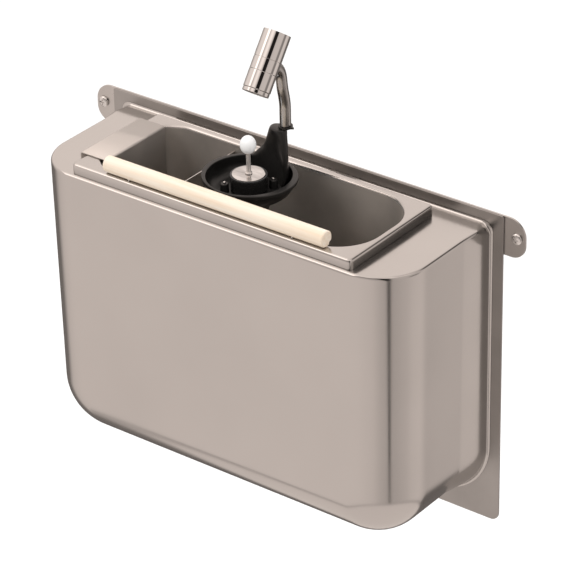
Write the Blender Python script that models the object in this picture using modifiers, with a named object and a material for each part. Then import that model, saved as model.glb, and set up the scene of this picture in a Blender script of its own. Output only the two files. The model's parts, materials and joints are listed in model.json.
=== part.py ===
"""Wall-hung dipper well: a steel housing with a lift-out rinse tank, a push-valve rinse bowl,
a swivelling spray head, an end baffle, a weir plate and a wooden knock bar.

Metres, +Z up, X along the wall, +Y into the wall. The origin lies on the wall face, on the line
of the wall screws and in the middle of the object. Run it with blender --background --python.
"""

import math

import bmesh
import bpy
from mathutils import Vector

# General
CLEAR = 0.0003
OVERRUN = 0.002
ROUND_STEPS = 32
SMALL_STEPS = 20
FINE_STEPS = 12
CORNER_STEPS = 6
BEND_STEPS = 3

# Hanger strap behind the wall plate, with its two ears
EAR_LENGTH = 0.023
STRAP_THICK = 0.002
STRAP_ABOVE_RIM = 0.002
STRAP_BELOW_RIM = 0.038
STRAP_TOP_RADIUS = 0.018
STRAP_LOW_RADIUS = 0.015
SCREW_BELOW_RIM = 0.0171
SCREW_FROM_EAR_END = 0.0089
SCREW_HOLE_RADIUS = 0.0029
SCREW_SHANK_RADIUS = 0.0024
SCREW_HEAD_RADIUS = 0.0056
SCREW_HEAD_HEIGHT = 0.0034
SCREW_SLOT_LENGTH = 0.0062
SCREW_SLOT_WIDTH = 0.0013
SCREW_SLOT_DEPTH = 0.0016

# Rivets that join strap and wall plate
RIVET_SHARES = (-0.4134, -0.1632, 0.1632, 0.4134)
RIVET_BELOW_RIM = 0.026
RIVET_RADIUS = 0.002
RIVET_HEAD_RADIUS = 0.004
RIVET_HEAD_HEIGHT = 0.0014

# Wall plate
PLATE_WIDTH = 0.4596
PLATE_THICK = 0.0015
PLATE_ABOVE_RIM = 0.00176
PLATE_BELOW_RIM = 0.3295
PLATE_LOW_RADIUS = 0.0095
PLATE_TOP_RADIUS = 0.002

# Deep-drawn housing
HOUSING_WIDTH = 0.4252
HOUSING_REACH = 0.147
HOUSING_BELOW_RIM = 0.308
HOUSING_WALL = 0.0012
DECK_BELOW_RIM = 0.01084
DECK_EDGE_RADIUS = 0.0025
PLAN_CORNER_RADIUS = 0.051
FRONT_LOW_RADIUS = 0.055
SIDE_LOW_RADIUS = 0.059
HOUSING_DRAFT = 0.0025
DRAFT_START = 0.003
FLARE_REACH = 0.012
FLARE_SPREAD = 0.005
BEAD_SPREAD = 0.0096
BEAD_PROUD = 0.0023
BEAD_TOP_SHARE = 0.35
BEAD_LOW_SHARE = 1.08
BEAD_CORNER_RADIUS = 0.0105
FRONT_STEPS = 8
SIDE_STEPS = 7

# Lift-out tank
TANK_LENGTH = 0.325
TANK_WIDTH = 0.130
TANK_DEPTH = 0.150
TANK_WALL = 0.0008
TANK_WALL_GAP = 0.013
TANK_END_FLANGE = 0.0075
TANK_SIDE_FLANGE = 0.0085
TANK_OUTER_RADIUS = 0.004
TANK_MOUTH_RADIUS = 0.0435
TANK_TAPER = 0.005
TANK_FLOOR_RADIUS = 0.012
RIM_BEND_RADIUS = 0.002
RIM_FOOT_GAP = 0.0005
DECK_HOLE_MARGIN = 0.0035
BUFFER_FROM_REAR = 0.024
BUFFER_LENGTH = 0.008
BUFFER_THICK = 0.0022
BUFFER_HEIGHT = 0.006

# End baffle that caps the left end of the rim
BAFFLE_THICK = 0.001
BAFFLE_OUTER_X = 0.1688
BAFFLE_INNER_X = 0.137
BAFFLE_LENGTH = 0.087
BAFFLE_BEND_RADIUS = 0.0022
BAFFLE_DROP = 0.080
BAFFLE_LIFT = 0.090

# Weir plate across the tank
WEIR_X = -0.0616
WEIR_THICK = 0.001
WEIR_BELOW_RIM = 0.008

# Wooden knock bar on the front rim
BAR_RADIUS = 0.008
BAR_LEFT_X = -0.127
BAR_RIGHT_X = 0.131
BAR_IN_FROM_FRONT = 0.0075
BAR_CHAMFER = 0.0008
BAR_SCREW_PLACES = (-0.095, 0.095)
BAR_SCREW_IN_FROM_FRONT = 0.0045
BAR_SCREW_RADIUS = 0.0014
BAR_SCREW_HEAD_RADIUS = 0.0024
BAR_SCREW_HEAD_HEIGHT = 0.0016
BAR_SCREW_LENGTH = 0.008

# Drain through the tank floor and its slip socket in the housing
DRAIN_X = -0.099
DRAIN_SHIFT_Y = 0.009
DRAIN_FLANGE_RADIUS = 0.026
DRAIN_FLANGE_THICK = 0.0016
DRAIN_TAIL_RADIUS = 0.0145
DRAIN_BORE_RADIUS = 0.0125
DRAIN_TAIL_END = 0.292
GASKET_RADIUS = 0.0225
GASKET_THICK = 0.002
DRAIN_NUT_ACROSS = 0.041
DRAIN_NUT_THICK = 0.008
STRAINER_RADIUS = 0.0223
STRAINER_THICK = 0.0012
STRAINER_CUP_RADIUS = 0.0117
STRAINER_CUP_DEPTH = 0.010
STRAINER_HOLE_RADIUS = 0.0015
STRAINER_HOLE_CIRCLE = 0.0066
STRAINER_HOLES = 8
SOCKET_BORE_RADIUS = 0.0151
SOCKET_RADIUS = 0.0180
SOCKET_FLANGE_RADIUS = 0.0212
SOCKET_FLANGE_THICK = 0.003
SOCKET_TOP = 0.282
SOCKET_END = 0.316
SOCKET_NUT_ACROSS = 0.044
SOCKET_NUT_THICK = 0.005
SEAL_WIRE_RADIUS = 0.0014

# Grommet for the supply hose in the housing floor
GROMMET_X = 0.050
GROMMET_FROM_WALL = 0.060
GROMMET_RADIUS = 0.013
GROMMET_NECK_RADIUS = 0.0105
GROMMET_BORE_RADIUS = 0.0075
GROMMET_LIP = 0.002

# Rinse bowl moulding
BOWL_X = 0.0005
BOWL_SHIFT_Y = -0.0008
BOWL_LENGTH = 0.0930
BOWL_WIDTH = 0.0856
BOWL_ABOVE_RIM = 0.0097
BOWL_LIP_THICK = 0.0032
BOWL_LIP_BEVEL = 0.0009
DISH_X = -0.0001
DISH_SHIFT_Y = -0.0013
DISH_RADIUS = 0.0403
DISH_FLOOR_RADIUS = 0.004
DISH_FLOOR_BELOW_RIM = 0.006
FUNNEL_TOP_RADIUS = 0.0412
FUNNEL_TOP_ABOVE_RIM = -0.004
FUNNEL_END_BELOW_RIM = 0.032
COLUMN_RADIUS = 0.0168
COLUMN_BORE_RADIUS = 0.0142
COLUMN_WEB_THICK = 0.003
COLUMN_FOOT_RADIUS = 0.024
COLUMN_FOOT_THICK = 0.004
POST_REACH = 0.0229
POST_ANGLE = math.radians(45)
POST_RADIUS = 0.0046
POST_TOP_RADIUS = 0.0038
POST_ABOVE_RIM = 0.0022
POST_SCREW_RADIUS = 0.0013
POST_SCREW_PROUD = 0.0018
POST_SCREW_LENGTH = 0.007

# Spout pillar, part of the bowl moulding, as polar sections round its own centre
PILLAR_X = -0.002
PILLAR_SHIFT_Y = 0.0005
PILLAR_RADIUS = 0.0402
PILLAR_TOP_ABOVE_RIM = 0.050
PILLAR_CROWN = 0.0012
PILLAR_HEIGHT_SHARES = (-0.16, 0.03, 0.21, 0.28, 0.36, 0.46, 0.56, 0.68, 0.80, 0.90, 0.975, 1.0)
PILLAR_LEFT_DEGREES = (122, 123, 122, 118, 112, 104, 99, 95, 91, 87, 82, 77)
PILLAR_RIGHT_DEGREES = (38, 37, 37, 37.5, 38, 39, 40, 41.5, 43, 44.5, 46.5, 49)
PILLAR_INNER_SHARES = (0.70, 0.71, 0.71, 0.705, 0.70, 0.69, 0.675, 0.66, 0.645, 0.63, 0.62, 0.655)
PILLAR_OUTER_SHARES = (0.80, 0.99, 1.0, 0.995, 0.99, 0.99, 0.99, 0.985, 0.98, 0.975, 0.97, 0.94)
PILLAR_POINTS = 24
FLOW_PATH_RADIUS = 0.0018

# Push valve
VALVE_X = -0.0008
VALVE_SHIFT_Y = -0.0005
VALVE_RADIUS = 0.0173
VALVE_ABOVE_RIM = 0.0086
VALVE_WELL_RADIUS = 0.0165
VALVE_WELL_BELOW_RIM = 0.002
VALVE_TAIL_RADIUS = 0.011
VALVE_TAIL_END = 0.044
VALVE_CHAMBER_RADIUS = 0.008
VALVE_CHAMBER_END = 0.026
VALVE_GUIDE_END = 0.030
VALVE_OUTLET_RADIUS = 0.0048
VALVE_RING_INNER = 0.0162
VALVE_RING_OUTER = 0.0175
VALVE_RING_THICK = 0.0011
VALVE_NUT_ACROSS = 0.0265
VALVE_NUT_THICK = 0.006
DISC_RADIUS = 0.01585
DISC_TOP_ABOVE_RIM = 0.0105
DISC_THICK = 0.0015
DISC_EDGE = 0.0004
STEM_RADIUS = 0.0022
STEM_BELOW_RIM = 0.029
HUB_RADIUS = 0.0034
HUB_HEIGHT = 0.0024
PLUNGER_SLEEVE_RADIUS = 0.005
PLUNGER_FLANGE_RADIUS = 0.0076
PLUNGER_FLANGE_TOP = 0.0035
PLUNGER_FLANGE_THICK = 0.002
SEAL_THICK = 0.0015
SPRING_RADIUS = 0.0058
SPRING_WIRE_RADIUS = 0.00055
SPRING_TURNS = 6
SPRING_POINTS_A_TURN = 10
PUSH_TRAVEL = 0.005
KNOB_RADIUS = 0.0077
KNOB_HALF_HEIGHT = 0.0091
KNOB_CENTRE_ABOVE_RIM = 0.0401
KNOB_BORE_DEPTH = 0.0075
KNOB_ARC_STEPS = 10

# Water inlet under the column
NIPPLE_RADIUS = 0.008
NIPPLE_BORE_RADIUS = 0.005
NIPPLE_FLANGE_RADIUS = 0.0132
NIPPLE_FLANGE_THICK = 0.003
NIPPLE_BELOW_FLOOR = 0.032
INLET_GASKET_RADIUS = 0.018
INLET_NUT_ACROSS = 0.027
INLET_NUT_THICK = 0.006
RISER_RADIUS = 0.0044
RISER_BORE_RADIUS = 0.003

# Swivelling spout pipe
SPOUT_X = 0.018
SPOUT_FROM_PLATE = 0.0458
COLLAR_RADIUS = 0.0069
COLLAR_THICK = 0.0019
COLLAR_EDGE = 0.0004
SPIGOT_RADIUS = 0.0015
SPIGOT_LENGTH = 0.007
SPIGOT_BORE_RADIUS = 0.0008
PIPE_RADIUS = 0.00535
PIPE_BORE_RADIUS = 0.0041
PIPE_STRAIGHT_TOP = 0.0205
PIPE_LEAN = 0.0035
PIPE_LEAN_RISE = 0.042
PIPE_BEND_REACH = 0.0036
PIPE_BEND_LENGTH = 0.011
PIPE_POINTS = 14

# Spray head
HEAD_TILT = math.radians(36.1)
HEAD_RADIUS = 0.0131
HEAD_LENGTH = 0.059
HEAD_TOP_FROM_PLATE = 0.0548
HEAD_TOP_ABOVE_RIM = 0.1498
HEAD_WALL = 0.0018
HEAD_EDGE = 0.0007
HEAD_PIVOT_DOWN = 0.0286
HEAD_PIVOT_BACK = 0.006
HEAD_GROOVE_DOWN = 0.026
HEAD_GROOVE_WIDTH = 0.0007
HEAD_GROOVE_DEPTH = 0.0005
HEAD_BODY_LENGTH = 0.038
HEAD_CAVITY_DEPTH = 0.0355
HEAD_CORE_RADIUS = 0.0106
HEAD_CORE_BORE = 0.0088
HEAD_CORE_DOWN = 0.0495
HEAD_MOUTH_RADIUS = 0.0059
SLEEVE_INNER_RADIUS = 0.011
SLEEVE_LENGTH = 0.0168
AERATOR_RADIUS = 0.0127
AERATOR_LENGTH = 0.0037
AERATOR_SPIGOT_RADIUS = 0.0106
AERATOR_SPIGOT_LENGTH = 0.005
AERATOR_BORE_RADIUS = 0.0094
AERATOR_LIP_RADIUS = 0.0084
AERATOR_LIP_THICK = 0.0008
INSERT_THICK = 0.002
INSERT_HOLE_RADIUS = 0.0009
INSERT_HOLE_CIRCLE = 0.0056
INSERT_HOLES = 8
BALL_RADIUS = 0.0049
BALL_NECK_RADIUS = 0.003
BALL_PLUG_RADIUS = 0.0033
BALL_PLUG_LENGTH = 0.003
PIPE_HEAD_GAP = 0.0027

# Places worked out from the sizes above
RIM_Z = SCREW_BELOW_RIM
STRAP_LENGTH = PLATE_WIDTH + 2 * EAR_LENGTH
SCREW_SPAN = STRAP_LENGTH - 2 * SCREW_FROM_EAR_END
RIVET_PLACES = tuple(share * PLATE_WIDTH for share in RIVET_SHARES)
PLATE_FRONT = -(STRAP_THICK + CLEAR + PLATE_THICK)
DECK_Z = RIM_Z - DECK_BELOW_RIM
HOUSING_BOTTOM = RIM_Z - HOUSING_BELOW_RIM
HOUSING_FLOOR = HOUSING_BOTTOM + HOUSING_WALL
TANK_Y = PLATE_FRONT - TANK_WALL_GAP - TANK_WIDTH / 2
TANK_FLOOR = -TANK_DEPTH
NIPPLE_END_Z = TANK_FLOOR - NIPPLE_BELOW_FLOOR
TANK_UNDERSIDE = TANK_FLOOR - TANK_WALL
MOUTH_HALF_LENGTH = TANK_LENGTH / 2 - TANK_END_FLANGE
MOUTH_HALF_WIDTH = TANK_WIDTH / 2 - TANK_SIDE_FLANGE

# Surface finishes: base colour, roughness, metallic
FINISHES = {
    "satin_steel": ((0.60, 0.57, 0.54), 0.32, 1.0),
    "dark_steel": ((0.36, 0.34, 0.32), 0.38, 1.0),
    "chrome": ((0.82, 0.81, 0.80), 0.08, 1.0),
    "black_plastic": ((0.035, 0.034, 0.033), 0.45, 0.0),
    "grey_plastic": ((0.30, 0.30, 0.29), 0.5, 0.0),
    "white_plastic": ((0.86, 0.86, 0.84), 0.3, 0.0),
    "beech": ((0.86, 0.74, 0.58), 0.55, 0.0),
    "rubber": ((0.04, 0.04, 0.04), 0.7, 0.0),
    "brass": ((0.70, 0.52, 0.25), 0.3, 1.0),
    "spring_steel": ((0.55, 0.54, 0.52), 0.25, 1.0),
}


def clear_scene():
    for item in list(bpy.data.objects):
        bpy.data.objects.remove(item, do_unlink=True)


def new_collection(name, hidden=False):
    collection = bpy.data.collections.new(name)
    bpy.context.scene.collection.children.link(collection)
    collection.hide_render = hidden
    return collection


clear_scene()
PARTS = new_collection("dipper_well")
CUTTERS = new_collection("cutters", hidden=True)


def material_for(node, finish):
    colour, roughness, metallic = FINISHES[finish]
    material = bpy.data.materials.new(f"{node}_{finish}")
    material.use_nodes = True
    shader = material.node_tree.nodes["Principled BSDF"]
    shader.inputs["Base Color"].default_value = (*colour, 1.0)
    shader.inputs["Roughness"].default_value = roughness
    shader.inputs["Metallic"].default_value = metallic
    material.diffuse_color = (*colour, 1.0)
    return material


def empty(name, location, parent=None, turn=0.0):
    item = bpy.data.objects.new(name, None)
    item.location = location
    item.rotation_euler.x = turn
    item.parent = parent
    PARTS.objects.link(item)
    return item


def place(name, data, finish, location=(0, 0, 0), rotation=(0, 0, 0), parent=None):
    """An object in the parts collection, or a hidden cutter where finish is None."""
    item = bpy.data.objects.new(name, data)
    item.location = location
    item.rotation_euler = rotation
    item.parent = parent
    if finish is None:
        CUTTERS.objects.link(item)
        item.hide_render = True
        item.display_type = "WIRE"
    else:
        PARTS.objects.link(item)
        data.materials.append(material_for(name, finish))
    return item


def smooth(mesh, degrees=35):
    mesh.shade_smooth()
    mesh.set_sharp_from_angle(angle=math.radians(degrees))


def mesh_of(name, shape):
    mesh = bpy.data.meshes.new(name)
    shape.to_mesh(mesh)
    shape.free()
    return mesh


def turned(name, finish, profile, steps=ROUND_STEPS, closed=False, **where):
    """A turned piece: the profile runs down its outer side, as (radius, height) points."""
    shape = bmesh.new()
    points = [shape.verts.new((radius, 0, height)) for radius, height in profile]
    for first, second in zip(points, points[1:]):
        shape.edges.new((first, second))
    if closed:
        shape.edges.new((points[-1], points[0]))
    item = place(name, mesh_of(name, shape), finish, **where)
    screw = item.modifiers.new("turn", "SCREW")
    screw.axis = "Z"
    screw.steps = steps
    screw.render_steps = steps
    screw.use_merge_vertices = True
    screw.merge_threshold = CLEAR / 30
    screw.use_smooth_shade = False
    return item


def loft(name, finish, loops, ends="", cyclic=False, flip=False, **where):
    """Quads between equal loops of points; ends names the loops to close: first, last."""
    shape = bmesh.new()
    rings = [[shape.verts.new(point) for point in loop] for loop in loops]
    pairs = list(zip(rings, rings[1:]))
    if cyclic:
        pairs.append((rings[-1], rings[0]))
    for outer, inner in pairs:
        for i in range(len(outer)):
            j = (i + 1) % len(outer)
            corners = (outer[i], outer[j], inner[j], inner[i])
            shape.faces.new(corners[::-1] if flip else corners)
    if "first" in ends:
        shape.faces.new(rings[0] if flip else rings[0][::-1])
    if "last" in ends:
        shape.faces.new(rings[-1][::-1] if flip else rings[-1])
    return place(name, mesh_of(name, shape), finish, **where)


def flat(name, finish, outlines, thickness, **where):
    """A flat outline with holes, as a filled 2D curve extruded both ways."""
    curve = bpy.data.curves.new(name, "CURVE")
    curve.dimensions = "2D"
    curve.fill_mode = "BOTH"
    curve.extrude = thickness / 2
    for outline in outlines:
        spline = curve.splines.new("POLY")
        spline.points.add(len(outline) - 1)
        for point, (x, y) in zip(spline.points, outline):
            point.co = (x, y, 0, 1)
        spline.use_cyclic_u = True
    return place(name, curve, finish, **where)


def tube(name, finish, points, radius, sides=2, **where):
    """A round wire or pipe along a list of points."""
    curve = bpy.data.curves.new(name, "CURVE")
    curve.dimensions = "3D"
    curve.bevel_depth = radius
    curve.bevel_resolution = sides
    curve.use_fill_caps = True
    spline = curve.splines.new("POLY")
    spline.points.add(len(points) - 1)
    for point, co in zip(spline.points, points):
        point.co = (*co, 1)
    return place(name, curve, finish, **where)


def as_mesh(item, finish):
    """The curve object made a mesh with welded caps, under the same name."""
    bpy.context.view_layer.update()
    graph = bpy.context.evaluated_depsgraph_get()
    mesh = bpy.data.meshes.new_from_object(item.evaluated_get(graph))
    shape = bmesh.new()
    shape.from_mesh(mesh)
    bmesh.ops.remove_doubles(shape, verts=shape.verts, dist=CLEAR / 30)
    shape.to_mesh(mesh)
    shape.free()
    name = item.name
    matrix = item.matrix_world.copy()
    parent = item.parent
    bpy.data.objects.remove(item, do_unlink=True)
    mesh.materials.clear()
    made = place(name, mesh, finish, parent=parent)
    made.matrix_world = matrix
    return made


def cut(item, cutter, operation="DIFFERENCE"):
    boolean = item.modifiers.new(cutter.name, "BOOLEAN")
    boolean.operation = operation
    boolean.object = cutter
    return boolean


def shell(item, thickness):
    solid = item.modifiers.new("wall", "SOLIDIFY")
    solid.thickness = thickness
    solid.offset = -1
    solid.use_even_offset = True
    return solid


def round_cutter(name, radius, top, bottom, steps=SMALL_STEPS, **where):
    profile = [(0, top), (radius, top), (radius, bottom), (0, bottom)]
    return turned(name, None, profile, steps=steps, **where)


def circle(radius, count, centre=(0, 0), phase=0.0):
    return [
        (
            centre[0] + radius * math.cos(phase + math.tau * i / count),
            centre[1] + radius * math.sin(phase + math.tau * i / count),
        )
        for i in range(count)
    ]


def rounded(half_x, half_y, radius, steps=CORNER_STEPS):
    """A rounded rectangle, counter-clockwise from the +X +Y corner."""
    points = []
    for quarter, (side_x, side_y) in enumerate(((1, 1), (-1, 1), (-1, -1), (1, -1))):
        for i in range(steps + 1):
            angle = math.pi / 2 * (quarter + i / steps)
            points.append(
                (
                    side_x * (half_x - radius) + radius * math.cos(angle),
                    side_y * (half_y - radius) + radius * math.sin(angle),
                )
            )
    return points


def plate_outline(half_x, top, bottom, top_radius, low_radius, steps=CORNER_STEPS):
    """An upright plate's outline in X and Z, clockwise from the top right corner."""
    points = []
    corners = (
        (1, top - top_radius, top_radius, 90),
        (1, bottom + low_radius, low_radius, 0),
        (-1, bottom + low_radius, low_radius, -90),
        (-1, top - top_radius, top_radius, -180),
    )
    for side, middle, radius, start in corners:
        for i in range(steps + 1):
            angle = math.radians(start - 90 * i / steps)
            points.append(
                (side * (half_x - radius) + radius * math.cos(angle), middle + radius * math.sin(angle))
            )
    return points


def build_strap():
    hanger_top = RIM_Z + STRAP_ABOVE_RIM
    hanger_low = RIM_Z - STRAP_BELOW_RIM
    outline = plate_outline(
        STRAP_LENGTH / 2, hanger_top, hanger_low, STRAP_TOP_RADIUS, STRAP_LOW_RADIUS
    )
    holes = [circle(SCREW_HOLE_RADIUS, SMALL_STEPS, (side * SCREW_SPAN / 2, 0)) for side in (-1, 1)]
    rivet_z = RIM_Z - RIVET_BELOW_RIM
    rivet_holes = [circle(RIVET_RADIUS + CLEAR, FINE_STEPS, (x, rivet_z)) for x in RIVET_PLACES]
    upright = (math.pi / 2, 0, 0)
    flat(
        "hanger_strap",
        "satin_steel",
        [outline] + holes + rivet_holes,
        STRAP_THICK,
        location=(0, -STRAP_THICK / 2, 0),
        rotation=upright,
    )
    plate = plate_outline(
        PLATE_WIDTH / 2,
        RIM_Z + PLATE_ABOVE_RIM,
        RIM_Z - PLATE_BELOW_RIM,
        PLATE_TOP_RADIUS,
        PLATE_LOW_RADIUS,
    )
    flat(
        "wall_plate",
        "satin_steel",
        [plate] + rivet_holes,
        PLATE_THICK,
        location=(0, PLATE_FRONT + PLATE_THICK / 2, 0),
        rotation=upright,
    )
    head = PLATE_FRONT - CLEAR
    profile = [
        (0, RIVET_HEAD_HEIGHT - head),
        (RIVET_HEAD_RADIUS * 0.6, RIVET_HEAD_HEIGHT - head),
        (RIVET_HEAD_RADIUS, RIVET_HEAD_HEIGHT / 3 - head),
        (RIVET_HEAD_RADIUS, -head),
        (RIVET_RADIUS, -head),
        (RIVET_RADIUS, CLEAR),
        (0, CLEAR),
    ]
    for number, x in enumerate(RIVET_PLACES, 1):
        turned(
            f"strap_rivet_{number}",
            "satin_steel",
            profile,
            steps=FINE_STEPS,
            location=(x, 0, rivet_z),
            rotation=upright,
        )


def build_wall_screws():
    seat = STRAP_THICK + CLEAR
    crown = seat + SCREW_HEAD_HEIGHT
    profile = [
        (0, crown),
        (SCREW_HEAD_RADIUS * 0.5, crown - SCREW_HEAD_HEIGHT * 0.08),
        (SCREW_HEAD_RADIUS * 0.82, crown - SCREW_HEAD_HEIGHT * 0.32),
        (SCREW_HEAD_RADIUS, crown - SCREW_HEAD_HEIGHT * 0.72),
        (SCREW_HEAD_RADIUS, seat),
        (SCREW_SHANK_RADIUS, seat),
        (SCREW_SHANK_RADIUS, CLEAR),
        (0, CLEAR),
    ]
    arm = SCREW_SLOT_LENGTH / 2
    half = SCREW_SLOT_WIDTH / 2
    quarter = [(arm, -half), (arm, half), (half, half)]
    cross = []
    for turn in range(4):
        angle = math.pi / 2 * turn
        for x, y in quarter:
            cross.append(
                (x * math.cos(angle) - y * math.sin(angle), x * math.sin(angle) + y * math.cos(angle))
            )
    low = crown - SCREW_SLOT_DEPTH
    high = crown + OVERRUN
    for side, x in zip(("left", "right"), (-SCREW_SPAN / 2, SCREW_SPAN / 2)):
        where = {"location": (x, 0, 0), "rotation": (math.pi / 2, 0, 0)}
        screw = turned(f"wall_screw_{side}", "chrome", profile, steps=SMALL_STEPS, **where)
        recess = loft(
            f"cross_recess_{side}",
            None,
            [[(a, b, low) for a, b in cross], [(a, b, high) for a, b in cross]],
            ends="first last",
            **where,
        )
        cut(screw, recess)


def fillet_inset(distance, radius):
    """How far a round of this radius has drawn in at this distance from its end."""
    reach = max(0.0, radius - distance)
    return radius - math.sqrt(max(0.0, radius * radius - reach * reach))


def housing_loop(y, spread=0.0, inward=0.0, edge=DECK_EDGE_RADIUS):
    """The housing's section at y, measured from the plate's front; spread widens its flare."""
    ahead = HOUSING_REACH - inward + y
    drawn_plan = fillet_inset(ahead, PLAN_CORNER_RADIUS - inward)
    drawn_low = fillet_inset(ahead, FRONT_LOW_RADIUS - inward)
    drawn_top = fillet_inset(ahead, DECK_EDGE_RADIUS)
    half = HOUSING_WIDTH / 2 - drawn_plan + spread - inward
    top = DECK_Z - drawn_top + spread * BEAD_TOP_SHARE - inward
    bottom = HOUSING_BOTTOM + drawn_low - spread * BEAD_LOW_SHARE + inward
    low_radius = max(SIDE_LOW_RADIUS + spread - drawn_low - inward, DECK_EDGE_RADIUS)
    top_radius = max(edge - inward, DECK_EDGE_RADIUS / 2)
    outline = plate_outline(half, top, bottom, top_radius, low_radius, steps=SIDE_STEPS)
    height = DECK_Z - HOUSING_BOTTOM
    firm = min(1.0, max(0.0, (-y - DRAFT_START) / (FLARE_REACH - DRAFT_START)))
    points = []
    for x, z in outline:
        down = max(0.0, DECK_Z - z) / height * firm
        narrow = 1 - HOUSING_DRAFT / (HOUSING_WIDTH / 2) * down
        shallow = 1 - HOUSING_DRAFT / HOUSING_REACH * down
        points.append((x * narrow, PLATE_FRONT + y * shallow, z))
    return points


def flare_sections():
    """The flare and its bead as (y, spread, top corner radius), from the plate forwards."""
    crest = (FLARE_SPREAD + BEAD_SPREAD) / 2
    edge = BEAD_CORNER_RADIUS
    return [
        (-CLEAR, BEAD_SPREAD, edge),
        (-BEAD_PROUD * 0.6, BEAD_SPREAD - BEAD_PROUD * 0.15, edge),
        (-BEAD_PROUD, crest + BEAD_PROUD * 0.4, edge),
        (-BEAD_PROUD, crest - BEAD_PROUD * 0.4, edge),
        (-BEAD_PROUD * 0.75, FLARE_SPREAD * 1.1, edge * 0.8),
        (-BEAD_PROUD * 1.3, FLARE_SPREAD * 0.72, edge * 0.7),
        (-FLARE_REACH * 0.42, FLARE_SPREAD * 0.36, edge * 0.6),
        (-FLARE_REACH * 0.68, FLARE_SPREAD * 0.12, edge * 0.5),
        (-FLARE_REACH, 0.0, edge * 0.42),
        (-FLARE_REACH * 2.5, 0.0, DECK_EDGE_RADIUS),
    ]


def inner_sections(sections):
    """The same sections set in by the wall thickness, as (y, spread, inward, radius)."""
    normals = []
    for (y0, s0, _), (y1, s1, _) in zip(sections, sections[1:]):
        along = Vector((y1 - y0, s1 - s0)).normalized()
        normals.append(Vector((along.y, -along.x)))
    inner = []
    for i, (y, spread, edge) in enumerate(sections):
        before = normals[max(i - 1, 0)]
        after = normals[min(i, len(normals) - 1)]
        across = (before + after).normalized()
        step = across * HOUSING_WALL / max(across.dot(before), 0.5)
        inner.append((min(y - step.x, -CLEAR), spread, step.y, edge))
    return inner


def build_housing():
    sections = flare_sections()
    outer = [housing_loop(y, spread, edge=edge) for y, spread, edge in sections]
    inner = [housing_loop(*section) for section in inner_sections(sections)]
    for wall, loops in ((0.0, outer), (HOUSING_WALL, inner)):
        radius = FRONT_LOW_RADIUS - wall
        for step in range(FRONT_STEPS + 1):
            angle = math.pi / 2 * step / FRONT_STEPS
            ahead = radius * (1 - math.sin(angle))
            loops.append(housing_loop(ahead - HOUSING_REACH + wall, inward=wall))
    housing = loft(
        "housing_shell", "satin_steel", inner[::-1] + outer, ends="first last", flip=True
    )
    hole = rounded(
        MOUTH_HALF_LENGTH + DECK_HOLE_MARGIN,
        MOUTH_HALF_WIDTH + DECK_HOLE_MARGIN,
        TANK_MOUTH_RADIUS + DECK_HOLE_MARGIN,
    )
    high = DECK_Z + OVERRUN
    low = DECK_Z - DECK_EDGE_RADIUS - OVERRUN
    well = loft(
        "deck_cutter",
        None,
        [[(x, TANK_Y + y, low) for x, y in hole], [(x, TANK_Y + y, high) for x, y in hole]],
        ends="first last",
    )
    cut(housing, well)
    floor_top = HOUSING_FLOOR + OVERRUN
    floor_low = HOUSING_BOTTOM - OVERRUN
    drain = round_cutter(
        "socket_cutter",
        SOCKET_RADIUS + CLEAR,
        floor_top,
        floor_low,
        location=(DRAIN_X, TANK_Y + DRAIN_SHIFT_Y, 0),
    )
    cut(housing, drain)
    grommet_y = PLATE_FRONT - GROMMET_FROM_WALL
    hose = round_cutter(
        "grommet_cutter",
        GROMMET_NECK_RADIUS + CLEAR,
        floor_top,
        floor_low,
        location=(GROMMET_X, grommet_y, 0),
    )
    cut(housing, hose)
    top = HOUSING_FLOOR + CLEAR
    low = HOUSING_BOTTOM - CLEAR
    turned(
        "hose_grommet",
        "rubber",
        [
            (GROMMET_RADIUS - GROMMET_LIP / 2, top + GROMMET_LIP),
            (GROMMET_RADIUS, top),
            (GROMMET_NECK_RADIUS, top),
            (GROMMET_NECK_RADIUS, low),
            (GROMMET_RADIUS, low),
            (GROMMET_RADIUS - GROMMET_LIP / 2, low - GROMMET_LIP),
            (GROMMET_BORE_RADIUS, low - GROMMET_LIP),
            (GROMMET_BORE_RADIUS, top + GROMMET_LIP),
        ],
        closed=True,
        steps=SMALL_STEPS,
        location=(GROMMET_X, grommet_y, 0),
    )


def hexagon(across):
    return circle(across / math.sqrt(3), 6, phase=math.pi / 6)


def build_socket():
    drain_y = TANK_Y + DRAIN_SHIFT_Y
    at = (DRAIN_X, drain_y, RIM_Z)
    flange = -HOUSING_BELOW_RIM + HOUSING_WALL + CLEAR
    turned(
        "waste_socket",
        "black_plastic",
        [
            (SOCKET_RADIUS, -SOCKET_TOP),
            (SOCKET_RADIUS, flange + SOCKET_FLANGE_THICK),
            (SOCKET_FLANGE_RADIUS, flange + SOCKET_FLANGE_THICK),
            (SOCKET_FLANGE_RADIUS, flange),
            (SOCKET_RADIUS, flange),
            (SOCKET_RADIUS, -SOCKET_END),
            (SOCKET_BORE_RADIUS, -SOCKET_END),
            (SOCKET_BORE_RADIUS, -SOCKET_TOP),
        ],
        closed=True,
        steps=SMALL_STEPS,
        location=at,
    )
    nut_z = RIM_Z - HOUSING_BELOW_RIM - CLEAR - SOCKET_NUT_THICK / 2
    flat(
        "waste_nut",
        "black_plastic",
        [hexagon(SOCKET_NUT_ACROSS), circle(SOCKET_RADIUS + CLEAR, SMALL_STEPS)],
        SOCKET_NUT_THICK,
        location=(DRAIN_X, drain_y, nut_z),
    )
    middle = DRAIN_TAIL_RADIUS + CLEAR + SEAL_WIRE_RADIUS
    ring = [
        (middle + x, -SOCKET_TOP + CLEAR + SEAL_WIRE_RADIUS - z)
        for x, z in circle(SEAL_WIRE_RADIUS, 8)
    ]
    turned("tail_seal", "rubber", ring, steps=SMALL_STEPS, closed=True, location=at)


def tank_loop(half_x, half_y, radius, z):
    return [(x, y, z) for x, y in rounded(half_x, half_y, radius)]


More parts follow.
